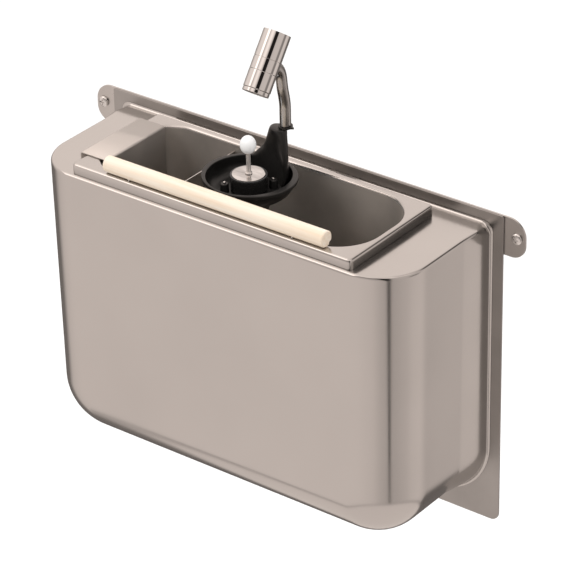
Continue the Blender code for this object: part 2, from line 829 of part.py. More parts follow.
def wall_inset(depth):
    """How far the tapered tank wall stands in at this depth under the rim."""
    return TANK_TAPER * depth / TANK_DEPTH


def build_tank(tank_lift):
    length = TANK_LENGTH / 2
    width = TANK_WIDTH / 2
    foot = RIM_FOOT_GAP - DECK_BELOW_RIM
    bend = RIM_BEND_RADIUS
    soft = bend * (1 - math.cos(math.pi / 4))
    loops = [
        tank_loop(length, width, TANK_OUTER_RADIUS, foot),
        tank_loop(length, width, TANK_OUTER_RADIUS, -bend),
        tank_loop(length - soft, width - soft, TANK_OUTER_RADIUS - soft, -soft),
        tank_loop(length - bend, width - bend, TANK_OUTER_RADIUS - bend, 0),
    ]
    for out, down in ((bend, 0), (soft, soft), (0, bend)):
        loops.append(
            tank_loop(
                MOUTH_HALF_LENGTH + out, MOUTH_HALF_WIDTH + out, TANK_MOUTH_RADIUS + out, -down
            )
        )
    for step in range(BEND_STEPS + 1):
        angle = math.pi / 2 * step / BEND_STEPS
        inset = TANK_FLOOR_RADIUS * (1 - math.cos(angle))
        depth = TANK_DEPTH - TANK_FLOOR_RADIUS * (1 - math.sin(angle))
        inset += wall_inset(TANK_DEPTH - TANK_FLOOR_RADIUS)
        loops.append(
            tank_loop(
                MOUTH_HALF_LENGTH - inset,
                MOUTH_HALF_WIDTH - inset,
                TANK_MOUTH_RADIUS - inset,
                -depth,
            )
        )
    tank = loft("tank", "satin_steel", loops, ends="last", parent=tank_lift)
    shell(tank, TANK_WALL)
    top = TANK_FLOOR + OVERRUN
    low = TANK_UNDERSIDE - OVERRUN
    for name, radius, x, y in (
        ("drain_cutter", DRAIN_TAIL_RADIUS + CLEAR, DRAIN_X, DRAIN_SHIFT_Y),
        ("inlet_cutter", NIPPLE_RADIUS + CLEAR, VALVE_X, VALVE_SHIFT_Y),
    ):
        cut(tank, round_cutter(name, radius, top, low, location=(x, y, 0), parent=tank_lift))
    screw_y = BAR_SCREW_IN_FROM_FRONT - width
    for side, x in zip(("left", "right"), BAR_SCREW_PLACES):
        hole = round_cutter(
            f"bar_hole_{side}",
            BAR_SCREW_RADIUS + CLEAR,
            OVERRUN,
            -OVERRUN,
            steps=FINE_STEPS,
            location=(x, screw_y, 0),
            parent=tank_lift,
        )
        cut(tank, hole)
    inner = length - TANK_WALL - CLEAR - BUFFER_THICK / 2
    buffer_z = CLEAR - DECK_BELOW_RIM + BUFFER_HEIGHT / 2
    for name, side in (("left", -1), ("right", 1)):
        shape = bmesh.new()
        bmesh.ops.create_cube(shape, size=1)
        bmesh.ops.scale(shape, verts=shape.verts, vec=(BUFFER_THICK, BUFFER_LENGTH, BUFFER_HEIGHT))
        place(
            f"rim_buffer_{name}",
            mesh_of(f"rim_buffer_{name}", shape),
            "grey_plastic",
            location=(side * inner, width - BUFFER_FROM_REAR, buffer_z),
            parent=tank_lift,
        )


def bend_path(corners, radius, steps):
    """The corner points of a folded sheet with each inner corner rounded."""
    path = [Vector(corners[0])]
    for before, corner, after in zip(corners, corners[1:], corners[2:]):
        into = (Vector(corner) - Vector(before)).normalized()
        away = (Vector(after) - Vector(corner)).normalized()
        centre = Vector(corner) - into * radius + away * radius
        for i in range(steps + 1):
            angle = math.pi / 2 * i / steps
            path.append(centre - away * radius * math.cos(angle) + into * radius * math.sin(angle))
    path.append(Vector(corners[-1]))
    return path


def build_baffle(tank_lift):
    top = CLEAR + BAFFLE_THICK
    corners = [
        (-BAFFLE_OUTER_X, CLEAR - DECK_BELOW_RIM),
        (-BAFFLE_OUTER_X, top),
        (-BAFFLE_INNER_X, top),
        (-BAFFLE_INNER_X, -BAFFLE_DROP),
    ]
    path = bend_path(corners, BAFFLE_BEND_RADIUS, BEND_STEPS)
    shape = bmesh.new()
    rows = [
        [shape.verts.new((x, side * BAFFLE_LENGTH / 2, z)) for side in (-1, 1)] for x, z in path
    ]
    for (a, b), (c, d) in zip(rows, rows[1:]):
        shape.faces.new((a, c, d, b))
    sheet = place("end_baffle", mesh_of("end_baffle", shape), "satin_steel", parent=tank_lift)
    shell(sheet, BAFFLE_THICK)


def build_weir(tank_lift):
    def half_at(depth):
        return MOUTH_HALF_WIDTH - wall_inset(depth) - CLEAR

    deep = TANK_DEPTH - TANK_FLOOR_RADIUS
    floor = TANK_DEPTH - CLEAR
    foot = half_at(deep) - TANK_FLOOR_RADIUS
    slack = TANK_FLOOR_RADIUS * math.sin(math.pi / 4)
    right = [
        (half_at(WEIR_BELOW_RIM), -WEIR_BELOW_RIM),
        (half_at(deep), -deep),
        (foot + slack, -deep - slack),
        (foot, -floor),
    ]
    inset = CLEAR
    right[2] = (right[2][0] - inset, right[2][1] + inset)
    outline = right + [(-y, z) for y, z in reversed(right)]
    flat(
        "weir_plate",
        "satin_steel",
        [outline],
        WEIR_THICK,
        location=(WEIR_X, 0, 0),
        rotation=(math.pi / 2, 0, math.pi / 2),
        parent=tank_lift,
    )


def build_bar(tank_lift):
    centre_y = BAR_IN_FROM_FRONT - TANK_WIDTH / 2
    centre_z = BAR_RADIUS + CLEAR
    chamfer = BAR_CHAMFER
    bar = turned(
        "knock_bar",
        "beech",
        [
            (0, BAR_RIGHT_X),
            (BAR_RADIUS - chamfer, BAR_RIGHT_X),
            (BAR_RADIUS, BAR_RIGHT_X - chamfer),
            (BAR_RADIUS, BAR_LEFT_X + chamfer),
            (BAR_RADIUS - chamfer, BAR_LEFT_X),
            (0, BAR_LEFT_X),
        ],
        location=(0, centre_y, centre_z),
        rotation=(0, math.pi / 2, 0),
        parent=tank_lift,
    )
    screw_y = BAR_SCREW_IN_FROM_FRONT - TANK_WIDTH / 2
    head = -TANK_WALL - CLEAR
    tip = BAR_SCREW_LENGTH + head
    for side, x in zip(("left", "right"), BAR_SCREW_PLACES):
        pilot = round_cutter(
            f"pilot_hole_{side}",
            BAR_SCREW_RADIUS + CLEAR,
            tip + CLEAR,
            -OVERRUN,
            steps=FINE_STEPS,
            location=(x, screw_y, 0),
            parent=tank_lift,
        )
        cut(bar, pilot)
    profile = [
        (0, tip),
        (BAR_SCREW_RADIUS * 0.6, tip),
        (BAR_SCREW_RADIUS, tip - BAR_SCREW_RADIUS),
        (BAR_SCREW_RADIUS, head),
        (BAR_SCREW_HEAD_RADIUS, head),
        (BAR_SCREW_HEAD_RADIUS, head - BAR_SCREW_HEAD_HEIGHT),
        (0, head - BAR_SCREW_HEAD_HEIGHT),
    ]
    for side, x in zip(("left", "right"), BAR_SCREW_PLACES):
        turned(
            f"bar_screw_{side}",
            "satin_steel",
            profile,
            steps=FINE_STEPS,
            location=(x, screw_y, 0),
            parent=tank_lift,
        )


def build_drain(tank_lift):
    at = (DRAIN_X, DRAIN_SHIFT_Y, 0)
    flange = TANK_FLOOR + CLEAR
    top = flange + DRAIN_FLANGE_THICK + STRAINER_THICK
    seat = top - STRAINER_THICK
    turned(
        "drain_body",
        "satin_steel",
        [
            (DRAIN_FLANGE_RADIUS - DRAIN_FLANGE_THICK, top),
            (DRAIN_FLANGE_RADIUS, flange),
            (DRAIN_TAIL_RADIUS, flange),
            (DRAIN_TAIL_RADIUS, -DRAIN_TAIL_END),
            (DRAIN_BORE_RADIUS, -DRAIN_TAIL_END),
            (DRAIN_BORE_RADIUS, seat),
            (STRAINER_RADIUS + CLEAR, seat),
            (STRAINER_RADIUS + CLEAR, top),
        ],
        closed=True,
        steps=SMALL_STEPS,
        location=at,
        parent=tank_lift,
    )
    gasket_top = TANK_UNDERSIDE - CLEAR
    turned(
        "drain_gasket",
        "rubber",
        [
            (GASKET_RADIUS, gasket_top),
            (GASKET_RADIUS, gasket_top - GASKET_THICK),
            (DRAIN_TAIL_RADIUS + CLEAR, gasket_top - GASKET_THICK),
            (DRAIN_TAIL_RADIUS + CLEAR, gasket_top),
        ],
        closed=True,
        steps=SMALL_STEPS,
        location=at,
        parent=tank_lift,
    )
    nut_top = gasket_top - GASKET_THICK - CLEAR
    flat(
        "drain_nut",
        "black_plastic",
        [hexagon(DRAIN_NUT_ACROSS), circle(DRAIN_TAIL_RADIUS + CLEAR, SMALL_STEPS)],
        DRAIN_NUT_THICK,
        location=(DRAIN_X, DRAIN_SHIFT_Y, nut_top - DRAIN_NUT_THICK / 2),
        parent=tank_lift,
    )
    disc = seat + CLEAR + STRAINER_THICK
    wall = STRAINER_THICK
    strainer = turned(
        "drain_strainer",
        "satin_steel",
        [
            (STRAINER_RADIUS, disc),
            (STRAINER_RADIUS, disc - wall),
            (STRAINER_CUP_RADIUS, disc - wall),
            (STRAINER_CUP_RADIUS, disc - STRAINER_CUP_DEPTH),
            (0, disc - STRAINER_CUP_DEPTH),
            (0, disc - STRAINER_CUP_DEPTH + wall),
            (STRAINER_CUP_RADIUS - wall, disc - STRAINER_CUP_DEPTH + wall),
            (STRAINER_CUP_RADIUS - wall, disc),
        ],
        closed=True,
        steps=SMALL_STEPS,
        location=at,
        parent=tank_lift,
    )
    spots = [(0, 0)] + circle(STRAINER_HOLE_CIRCLE, STRAINER_HOLES)
    shape = bmesh.new()
    for x, y in spots:
        made = bmesh.ops.create_cone(
            shape,
            cap_ends=True,
            segments=8,
            radius1=STRAINER_HOLE_RADIUS,
            radius2=STRAINER_HOLE_RADIUS,
            depth=wall + 2 * OVERRUN,
        )
        middle = disc - STRAINER_CUP_DEPTH + wall / 2
        bmesh.ops.translate(shape, verts=made["verts"], vec=(x, y, middle))
    holes = place(
        "strainer_cutter",
        mesh_of("strainer_cutter", shape),
        None,
        location=at,
        parent=tank_lift,
    )
    cut(strainer, holes)


def bowl_loop(radius_x, radius_y, centre, z):
    return [
        (centre[0] + radius_x * math.cos(a), centre[1] + radius_y * math.sin(a), z)
        for a in (math.tau * i / ROUND_STEPS for i in range(ROUND_STEPS))
    ]


def pillar_loop(level, height):
    """One bean-shaped section of the pillar, in polar form round the pillar's own centre."""
    left = math.radians(PILLAR_LEFT_DEGREES[level])
    right = math.radians(PILLAR_RIGHT_DEGREES[level])
    inner = PILLAR_INNER_SHARES[level] * PILLAR_RADIUS
    outer = PILLAR_OUTER_SHARES[level] * PILLAR_RADIUS
    points = []
    for i in range(PILLAR_POINTS):
        turn = math.tau * i / PILLAR_POINTS
        angle = (left + right) / 2 - (left - right) / 2 * math.cos(turn)
        radius = (inner + outer) / 2 - (outer - inner) / 2 * math.sin(turn)
        points.append(
            (PILLAR_X + radius * math.cos(angle), PILLAR_SHIFT_Y + radius * math.sin(angle), height)
        )
    return points


def build_bowl(tank_lift):
    lip = (BOWL_X, BOWL_SHIFT_Y)
    dish = (DISH_X, DISH_SHIFT_Y)
    valve = (VALVE_X, VALVE_SHIFT_Y)
    long = BOWL_LENGTH / 2
    wide = BOWL_WIDTH / 2
    top = BOWL_ABOVE_RIM
    bevel = BOWL_LIP_BEVEL
    under = top - BOWL_LIP_THICK
    floor = -DISH_FLOOR_BELOW_RIM
    bore = VALVE_TAIL_RADIUS + CLEAR
    dish_low = DISH_RADIUS - DISH_FLOOR_RADIUS
    loops = [
        bowl_loop(bore, bore, valve, floor),
        bowl_loop(dish_low, dish_low, dish, floor),
        bowl_loop(DISH_RADIUS - bevel, DISH_RADIUS - bevel, dish, floor + DISH_FLOOR_RADIUS),
        bowl_loop(DISH_RADIUS, DISH_RADIUS, dish, top - bevel),
        bowl_loop(DISH_RADIUS + bevel, DISH_RADIUS + bevel, dish, top),
        bowl_loop(long - bevel, wide - bevel, lip, top - bevel / 2),
        bowl_loop(long, wide, lip, top - 2 * bevel),
        bowl_loop(long, wide, lip, under),
        bowl_loop(long - 2 * bevel, wide, lip, under - bevel),
        bowl_loop(FUNNEL_TOP_RADIUS, FUNNEL_TOP_RADIUS, dish, FUNNEL_TOP_ABOVE_RIM),
        bowl_loop(COLUMN_RADIUS, COLUMN_RADIUS, valve, -FUNNEL_END_BELOW_RIM),
        bowl_loop(bore, bore, valve, -FUNNEL_END_BELOW_RIM),
    ]
    bowl = loft("bowl_insert", "black_plastic", loops, cyclic=True, flip=True, parent=tank_lift)
    sections = [
        pillar_loop(level, share * PILLAR_TOP_ABOVE_RIM)
        for level, share in enumerate(PILLAR_HEIGHT_SHARES)
    ]
    pillar = loft("pillar_form", None, sections, ends="first last", parent=tank_lift)
    shape = bmesh.new()
    shape.from_mesh(pillar.data)
    bmesh.ops.recalc_face_normals(shape, faces=shape.faces)
    shape.to_mesh(pillar.data)
    shape.free()
    cut(bowl, pillar, "UNION")
    shape = bmesh.new()
    post_low = floor - DISH_FLOOR_RADIUS / 2
    spots = []
    for side in (-1, 1):
        spot = Vector(
            (
                VALVE_X + side * POST_REACH * math.cos(POST_ANGLE),
                VALVE_SHIFT_Y + side * POST_REACH * math.sin(POST_ANGLE),
                0,
            )
        )
        spots.append(spot)
        made = bmesh.ops.create_cone(
            shape,
            cap_ends=True,
            segments=FINE_STEPS,
            radius1=POST_RADIUS,
            radius2=POST_TOP_RADIUS,
            depth=POST_ABOVE_RIM - post_low,
        )
        bmesh.ops.translate(
            shape, verts=made["verts"], vec=spot + Vector((0, 0, (POST_ABOVE_RIM + post_low) / 2))
        )
    posts = place("post_form", mesh_of("post_form", shape), None, parent=tank_lift)
    cut(bowl, posts, "UNION")
    shape = bmesh.new()
    screw_low = POST_ABOVE_RIM + POST_SCREW_PROUD - POST_SCREW_LENGTH
    for spot in spots:
        made = bmesh.ops.create_cone(
            shape,
            cap_ends=True,
            segments=FINE_STEPS,
            radius1=POST_SCREW_RADIUS + CLEAR,
            radius2=POST_SCREW_RADIUS + CLEAR,
            depth=POST_ABOVE_RIM + OVERRUN - screw_low + CLEAR,
        )
        middle = (POST_ABOVE_RIM + OVERRUN + screw_low - CLEAR) / 2
        bmesh.ops.translate(shape, verts=made["verts"], vec=spot + Vector((0, 0, middle)))
    cut(bowl, place("post_cutter", mesh_of("post_cutter", shape), None, parent=tank_lift))
    crown = POST_ABOVE_RIM + POST_SCREW_PROUD
    for side, spot in zip(("front", "rear"), spots):
        turned(
            f"bowl_screw_{side}",
            "chrome",
            [
                (0, crown),
                (POST_SCREW_RADIUS * 0.7, crown),
                (POST_SCREW_RADIUS, crown - POST_SCREW_RADIUS * 0.3),
                (POST_SCREW_RADIUS, screw_low),
                (0, screw_low),
            ],
            steps=FINE_STEPS,
            location=spot,
            parent=tank_lift,
        )
    spout_y = PLATE_FRONT - SPOUT_FROM_PLATE - TANK_Y
    seat = PILLAR_TOP_ABOVE_RIM
    socket = round_cutter(
        "spigot_cutter",
        FLOW_PATH_RADIUS,
        seat + OVERRUN,
        seat - SPIGOT_LENGTH - CLEAR,
        steps=FINE_STEPS,
        location=(SPOUT_X, spout_y, 0),
        parent=tank_lift,
    )
    cut(bowl, socket)


def build_column(tank_lift):
    at = (VALVE_X, VALVE_SHIFT_Y, 0)
    top = -FUNNEL_END_BELOW_RIM - CLEAR
    foot = TANK_FLOOR + CLEAR
    web = top - COLUMN_WEB_THICK
    low_web = foot + COLUMN_WEB_THICK
    turned(
        "bowl_column",
        "black_plastic",
        [
            (COLUMN_RADIUS, top),
            (COLUMN_RADIUS, foot + 2 * COLUMN_FOOT_THICK),
            (COLUMN_FOOT_RADIUS, foot + COLUMN_FOOT_THICK),
            (COLUMN_FOOT_RADIUS, foot),
            (NIPPLE_RADIUS + CLEAR, foot),
            (NIPPLE_RADIUS + CLEAR, low_web),
            (COLUMN_BORE_RADIUS, low_web),
            (COLUMN_BORE_RADIUS, web),
            (VALVE_TAIL_RADIUS + CLEAR, web),
            (VALVE_TAIL_RADIUS + CLEAR, top),
        ],
        closed=True,
        steps=SMALL_STEPS,
        location=at,
        parent=tank_lift,
    )
    nut_top = web - CLEAR
    flat(
        "valve_nut",
        "brass",
        [
            circle(VALVE_NUT_ACROSS / 2, SMALL_STEPS),
            circle(VALVE_TAIL_RADIUS + CLEAR, SMALL_STEPS),
        ],
        VALVE_NUT_THICK,
        location=(VALVE_X, VALVE_SHIFT_Y, nut_top - VALVE_NUT_THICK / 2),
        parent=tank_lift,
    )
    flange = low_web + CLEAR
    turned(
        "inlet_nipple",
        "brass",
        [
            (NIPPLE_FLANGE_RADIUS, flange + NIPPLE_FLANGE_THICK),
            (NIPPLE_FLANGE_RADIUS, flange),
            (NIPPLE_RADIUS, flange),
            (NIPPLE_RADIUS, NIPPLE_END_Z),
            (NIPPLE_BORE_RADIUS, NIPPLE_END_Z),
            (NIPPLE_BORE_RADIUS, flange + NIPPLE_FLANGE_THICK),
        ],
        closed=True,
        steps=SMALL_STEPS,
        location=at,
        parent=tank_lift,
    )
    gasket_top = TANK_UNDERSIDE - CLEAR
    turned(
        "inlet_gasket",
        "rubber",
        [
            (INLET_GASKET_RADIUS, gasket_top),
            (INLET_GASKET_RADIUS, gasket_top - GASKET_THICK),
            (NIPPLE_RADIUS + CLEAR, gasket_top - GASKET_THICK),
            (NIPPLE_RADIUS + CLEAR, gasket_top),
        ],
        closed=True,
        steps=SMALL_STEPS,
        location=at,
        parent=tank_lift,
    )
    inlet_nut_top = gasket_top - GASKET_THICK - CLEAR
    flat(
        "inlet_nut",
        "brass",
        [hexagon(INLET_NUT_ACROSS), circle(NIPPLE_RADIUS + CLEAR, SMALL_STEPS)],
        INLET_NUT_THICK,
        location=(VALVE_X, VALVE_SHIFT_Y, inlet_nut_top - INLET_NUT_THICK / 2),
        parent=tank_lift,
    )
    riser_top = -STEM_BELOW_RIM - PUSH_TRAVEL - 2 * OVERRUN
    turned(
        "riser_tube",
        "brass",
        [
            (RISER_RADIUS, riser_top),
            (RISER_RADIUS, flange),
            (RISER_BORE_RADIUS, flange),
            (RISER_BORE_RADIUS, riser_top),
        ],
        closed=True,
        steps=SMALL_STEPS,
        location=at,
        parent=tank_lift,
    )


def build_valve(tank_lift):
    at = (VALVE_X, VALVE_SHIFT_Y, 0)
    push_axis = empty("push_axis", at, tank_lift)
    floor = -DISH_FLOOR_BELOW_RIM + CLEAR
    guide = STEM_RADIUS + 2 * CLEAR
    turned(
        "valve_housing",
        "black_plastic",
        [
            (VALVE_RADIUS, VALVE_ABOVE_RIM),
            (VALVE_RADIUS, floor),
            (VALVE_TAIL_RADIUS, floor),
            (VALVE_TAIL_RADIUS, -VALVE_TAIL_END),
            (VALVE_OUTLET_RADIUS, -VALVE_TAIL_END),
            (VALVE_OUTLET_RADIUS, -VALVE_GUIDE_END),
            (guide, -VALVE_GUIDE_END),
            (guide, -VALVE_CHAMBER_END),
            (VALVE_CHAMBER_RADIUS, -VALVE_CHAMBER_END),
            (VALVE_CHAMBER_RADIUS, -VALVE_WELL_BELOW_RIM),
            (VALVE_WELL_RADIUS, -VALVE_WELL_BELOW_RIM),
            (VALVE_WELL_RADIUS, VALVE_ABOVE_RIM),
        ],
        closed=True,
        location=at,
        parent=tank_lift,
    )
    ring_low = VALVE_ABOVE_RIM + CLEAR
    ring_top = ring_low + VALVE_RING_THICK
    turned(
        "valve_ring",
        "grey_plastic",
        [
            (VALVE_RING_OUTER - CLEAR, ring_top),
            (VALVE_RING_OUTER, ring_top - CLEAR),
            (VALVE_RING_OUTER, ring_low),
            (VALVE_RING_INNER, ring_low),
            (VALVE_RING_INNER, ring_top),
        ],
        closed=True,
        location=at,
        parent=tank_lift,
    )
    seal_low = -VALVE_CHAMBER_END + CLEAR
    turned(
        "stem_seal",
        "rubber",
        [
            (VALVE_CHAMBER_RADIUS - CLEAR, seal_low + SEAL_THICK),
            (VALVE_CHAMBER_RADIUS - CLEAR, seal_low),
            (STEM_RADIUS + CLEAR, seal_low),
            (STEM_RADIUS + CLEAR, seal_low + SEAL_THICK),
        ],
        closed=True,
        steps=SMALL_STEPS,
        location=at,
        parent=tank_lift,
    )
    disc_low = DISC_TOP_ABOVE_RIM - DISC_THICK
    turned(
        "push_disc",
        "chrome",
        [
            (DISC_RADIUS - DISC_EDGE, DISC_TOP_ABOVE_RIM),
            (DISC_RADIUS, DISC_TOP_ABOVE_RIM - DISC_EDGE),
            (DISC_RADIUS, disc_low),
            (STEM_RADIUS + CLEAR, disc_low),
            (STEM_RADIUS + CLEAR, DISC_TOP_ABOVE_RIM),
        ],
        closed=True,
        parent=push_axis,
    )
    hub_low = DISC_TOP_ABOVE_RIM + CLEAR
    hub_top = hub_low + HUB_HEIGHT
    stem_top = KNOB_CENTRE_ABOVE_RIM - KNOB_HALF_HEIGHT + KNOB_BORE_DEPTH - CLEAR
    turned(
        "push_stem",
        "chrome",
        [
            (0, stem_top),
            (STEM_RADIUS, stem_top),
            (STEM_RADIUS, hub_top),
            (HUB_RADIUS * 0.8, hub_top),
            (HUB_RADIUS, hub_top - CLEAR),
            (HUB_RADIUS, hub_low),
            (STEM_RADIUS, hub_low),
            (STEM_RADIUS, -STEM_BELOW_RIM),
            (0, -STEM_BELOW_RIM),
        ],
        steps=SMALL_STEPS,
        parent=push_axis,
    )
    flange_top = -PLUNGER_FLANGE_TOP
    flange_low = flange_top - PLUNGER_FLANGE_THICK
    turned(
        "valve_plunger",
        "white_plastic",
        [
            (PLUNGER_SLEEVE_RADIUS, disc_low - CLEAR),
            (PLUNGER_SLEEVE_RADIUS, flange_top),
            (PLUNGER_FLANGE_RADIUS, flange_top),
            (PLUNGER_FLANGE_RADIUS, flange_low),
            (STEM_RADIUS + CLEAR, flange_low),
            (STEM_RADIUS + CLEAR, disc_low - CLEAR),
        ],
        closed=True,
        steps=SMALL_STEPS,
        parent=push_axis,
    )
    knob = []
    for i in range(KNOB_ARC_STEPS + 1):
        angle = math.pi / 2 - math.pi * i / KNOB_ARC_STEPS
        knob.append(
            (KNOB_RADIUS * math.cos(angle), KNOB_CENTRE_ABOVE_RIM + KNOB_HALF_HEIGHT * math.sin(angle))
        )
    bore = STEM_RADIUS + CLEAR
    knob_low = KNOB_CENTRE_ABOVE_RIM - KNOB_HALF_HEIGHT
    slope = math.sqrt(1 - (bore / KNOB_RADIUS) ** 2)
    knob[0] = (0, KNOB_CENTRE_ABOVE_RIM + KNOB_HALF_HEIGHT)
    knob[-1] = (bore, KNOB_CENTRE_ABOVE_RIM - KNOB_HALF_HEIGHT * slope)
    knob += [(bore, knob_low + KNOB_BORE_DEPTH), (0, knob_low + KNOB_BORE_DEPTH)]
    turned("ball_knob", "white_plastic", knob, steps=SMALL_STEPS, parent=push_axis)
    low = seal_low + SEAL_THICK + CLEAR + SPRING_WIRE_RADIUS
    high = flange_low - CLEAR - SPRING_WIRE_RADIUS
    count = SPRING_TURNS * SPRING_POINTS_A_TURN
    points = []
    for i in range(count + 1):
        angle = math.tau * i / SPRING_POINTS_A_TURN
        height = low + (high - low) * i / count
        points.append((SPRING_RADIUS * math.cos(angle), SPRING_RADIUS * math.sin(angle), height))
    gap = min(
        (Vector(points[i]) - Vector(points[j])).length
        for i in range(len(points))
        for j in range(i + SPRING_POINTS_A_TURN // 2, len(points))
    )
    print(f"valve_spring least gap to itself {gap - 2 * SPRING_WIRE_RADIUS:.5f} m")
    tube("valve_spring", "spring_steel", points, SPRING_WIRE_RADIUS, sides=1, parent=push_axis)


def pipe_route(pivot_y, pivot_z):
    """The spout pipe's centre line in its swivel frame, in the plane x = 0, and its end frame."""
    outward = Vector((0, math.cos(HEAD_TILT), -math.sin(HEAD_TILT)))
    reach = HEAD_RADIUS - HEAD_PIVOT_BACK + PIPE_HEAD_GAP
    end = Vector((0, pivot_y, pivot_z)) + outward * reach
    start = Vector((0, 0, COLLAR_THICK + CLEAR))
    straight = Vector((0, 0, PIPE_STRAIGHT_TOP))
    lean = Vector((0, -PIPE_LEAN, PIPE_LEAN_RISE))
    handle_in = lean + (lean - straight) * 0.45
    handle_out = end + outward * PIPE_BEND_LENGTH
    points = [start, start + (straight - start) * 0.5, straight]
    middle = (lean - straight).length / 3
    for i in range(1, 4):
        t = i / 4
        a = straight + Vector((0, 0, middle * 3 * t))
        points.append(a.lerp(straight.lerp(lean, t), t * (2 - t)))
    points.append(lean)
    for i in range(1, PIPE_POINTS + 1):
        t = i / PIPE_POINTS
        a = lean.lerp(handle_in, t)
        b = handle_in.lerp(handle_out, t)
        c = handle_out.lerp(end, t)
        points.append(a.lerp(b, t).lerp(b.lerp(c, t), t))
    return points, outward


def build_spout(tank_lift):
    spout_y = PLATE_FRONT - SPOUT_FROM_PLATE - TANK_Y
    base = PILLAR_TOP_ABOVE_RIM + CLEAR
    swivel = empty("swivel_axis", (SPOUT_X, spout_y, base), tank_lift)
    edge = COLLAR_EDGE
    turned(
        "pipe_collar",
        "black_plastic",
        [
            (COLLAR_RADIUS - edge, COLLAR_THICK),
            (COLLAR_RADIUS, COLLAR_THICK - edge),
            (COLLAR_RADIUS, edge),
            (COLLAR_RADIUS - edge, 0),
            (SPIGOT_RADIUS, 0),
            (SPIGOT_RADIUS, -SPIGOT_LENGTH),
            (SPIGOT_BORE_RADIUS, -SPIGOT_LENGTH),
            (SPIGOT_BORE_RADIUS, COLLAR_THICK),
        ],
        closed=True,
        steps=SMALL_STEPS,
        parent=swivel,
    )
    down = Vector((0, -math.sin(HEAD_TILT), -math.cos(HEAD_TILT)))
    outward = Vector((0, math.cos(HEAD_TILT), -math.sin(HEAD_TILT)))
    head_top = Vector(
        (0, SPOUT_FROM_PLATE - HEAD_TOP_FROM_PLATE, HEAD_TOP_ABOVE_RIM - base)
    )
    pivot = head_top + down * HEAD_PIVOT_DOWN + outward * HEAD_PIVOT_BACK
    route, outward = pipe_route(pivot.y, pivot.z)
    pipe = as_mesh(tube("swivel_pipe", "chrome", route, PIPE_RADIUS, 3, parent=swivel), "chrome")
    first = (route[0] - route[1]).normalized() * OVERRUN
    last = (route[-1] - route[-2]).normalized() * OVERRUN
    bore_route = [route[0] + first] + route + [route[-1] + last]
    bore = tube("pipe_bore", None, bore_route, PIPE_BORE_RADIUS, 2, parent=swivel)
    cut(pipe, as_mesh(bore, None))
    tilt = empty("head_pivot", pivot, swivel, turn=-HEAD_TILT)
    build_head(tilt)


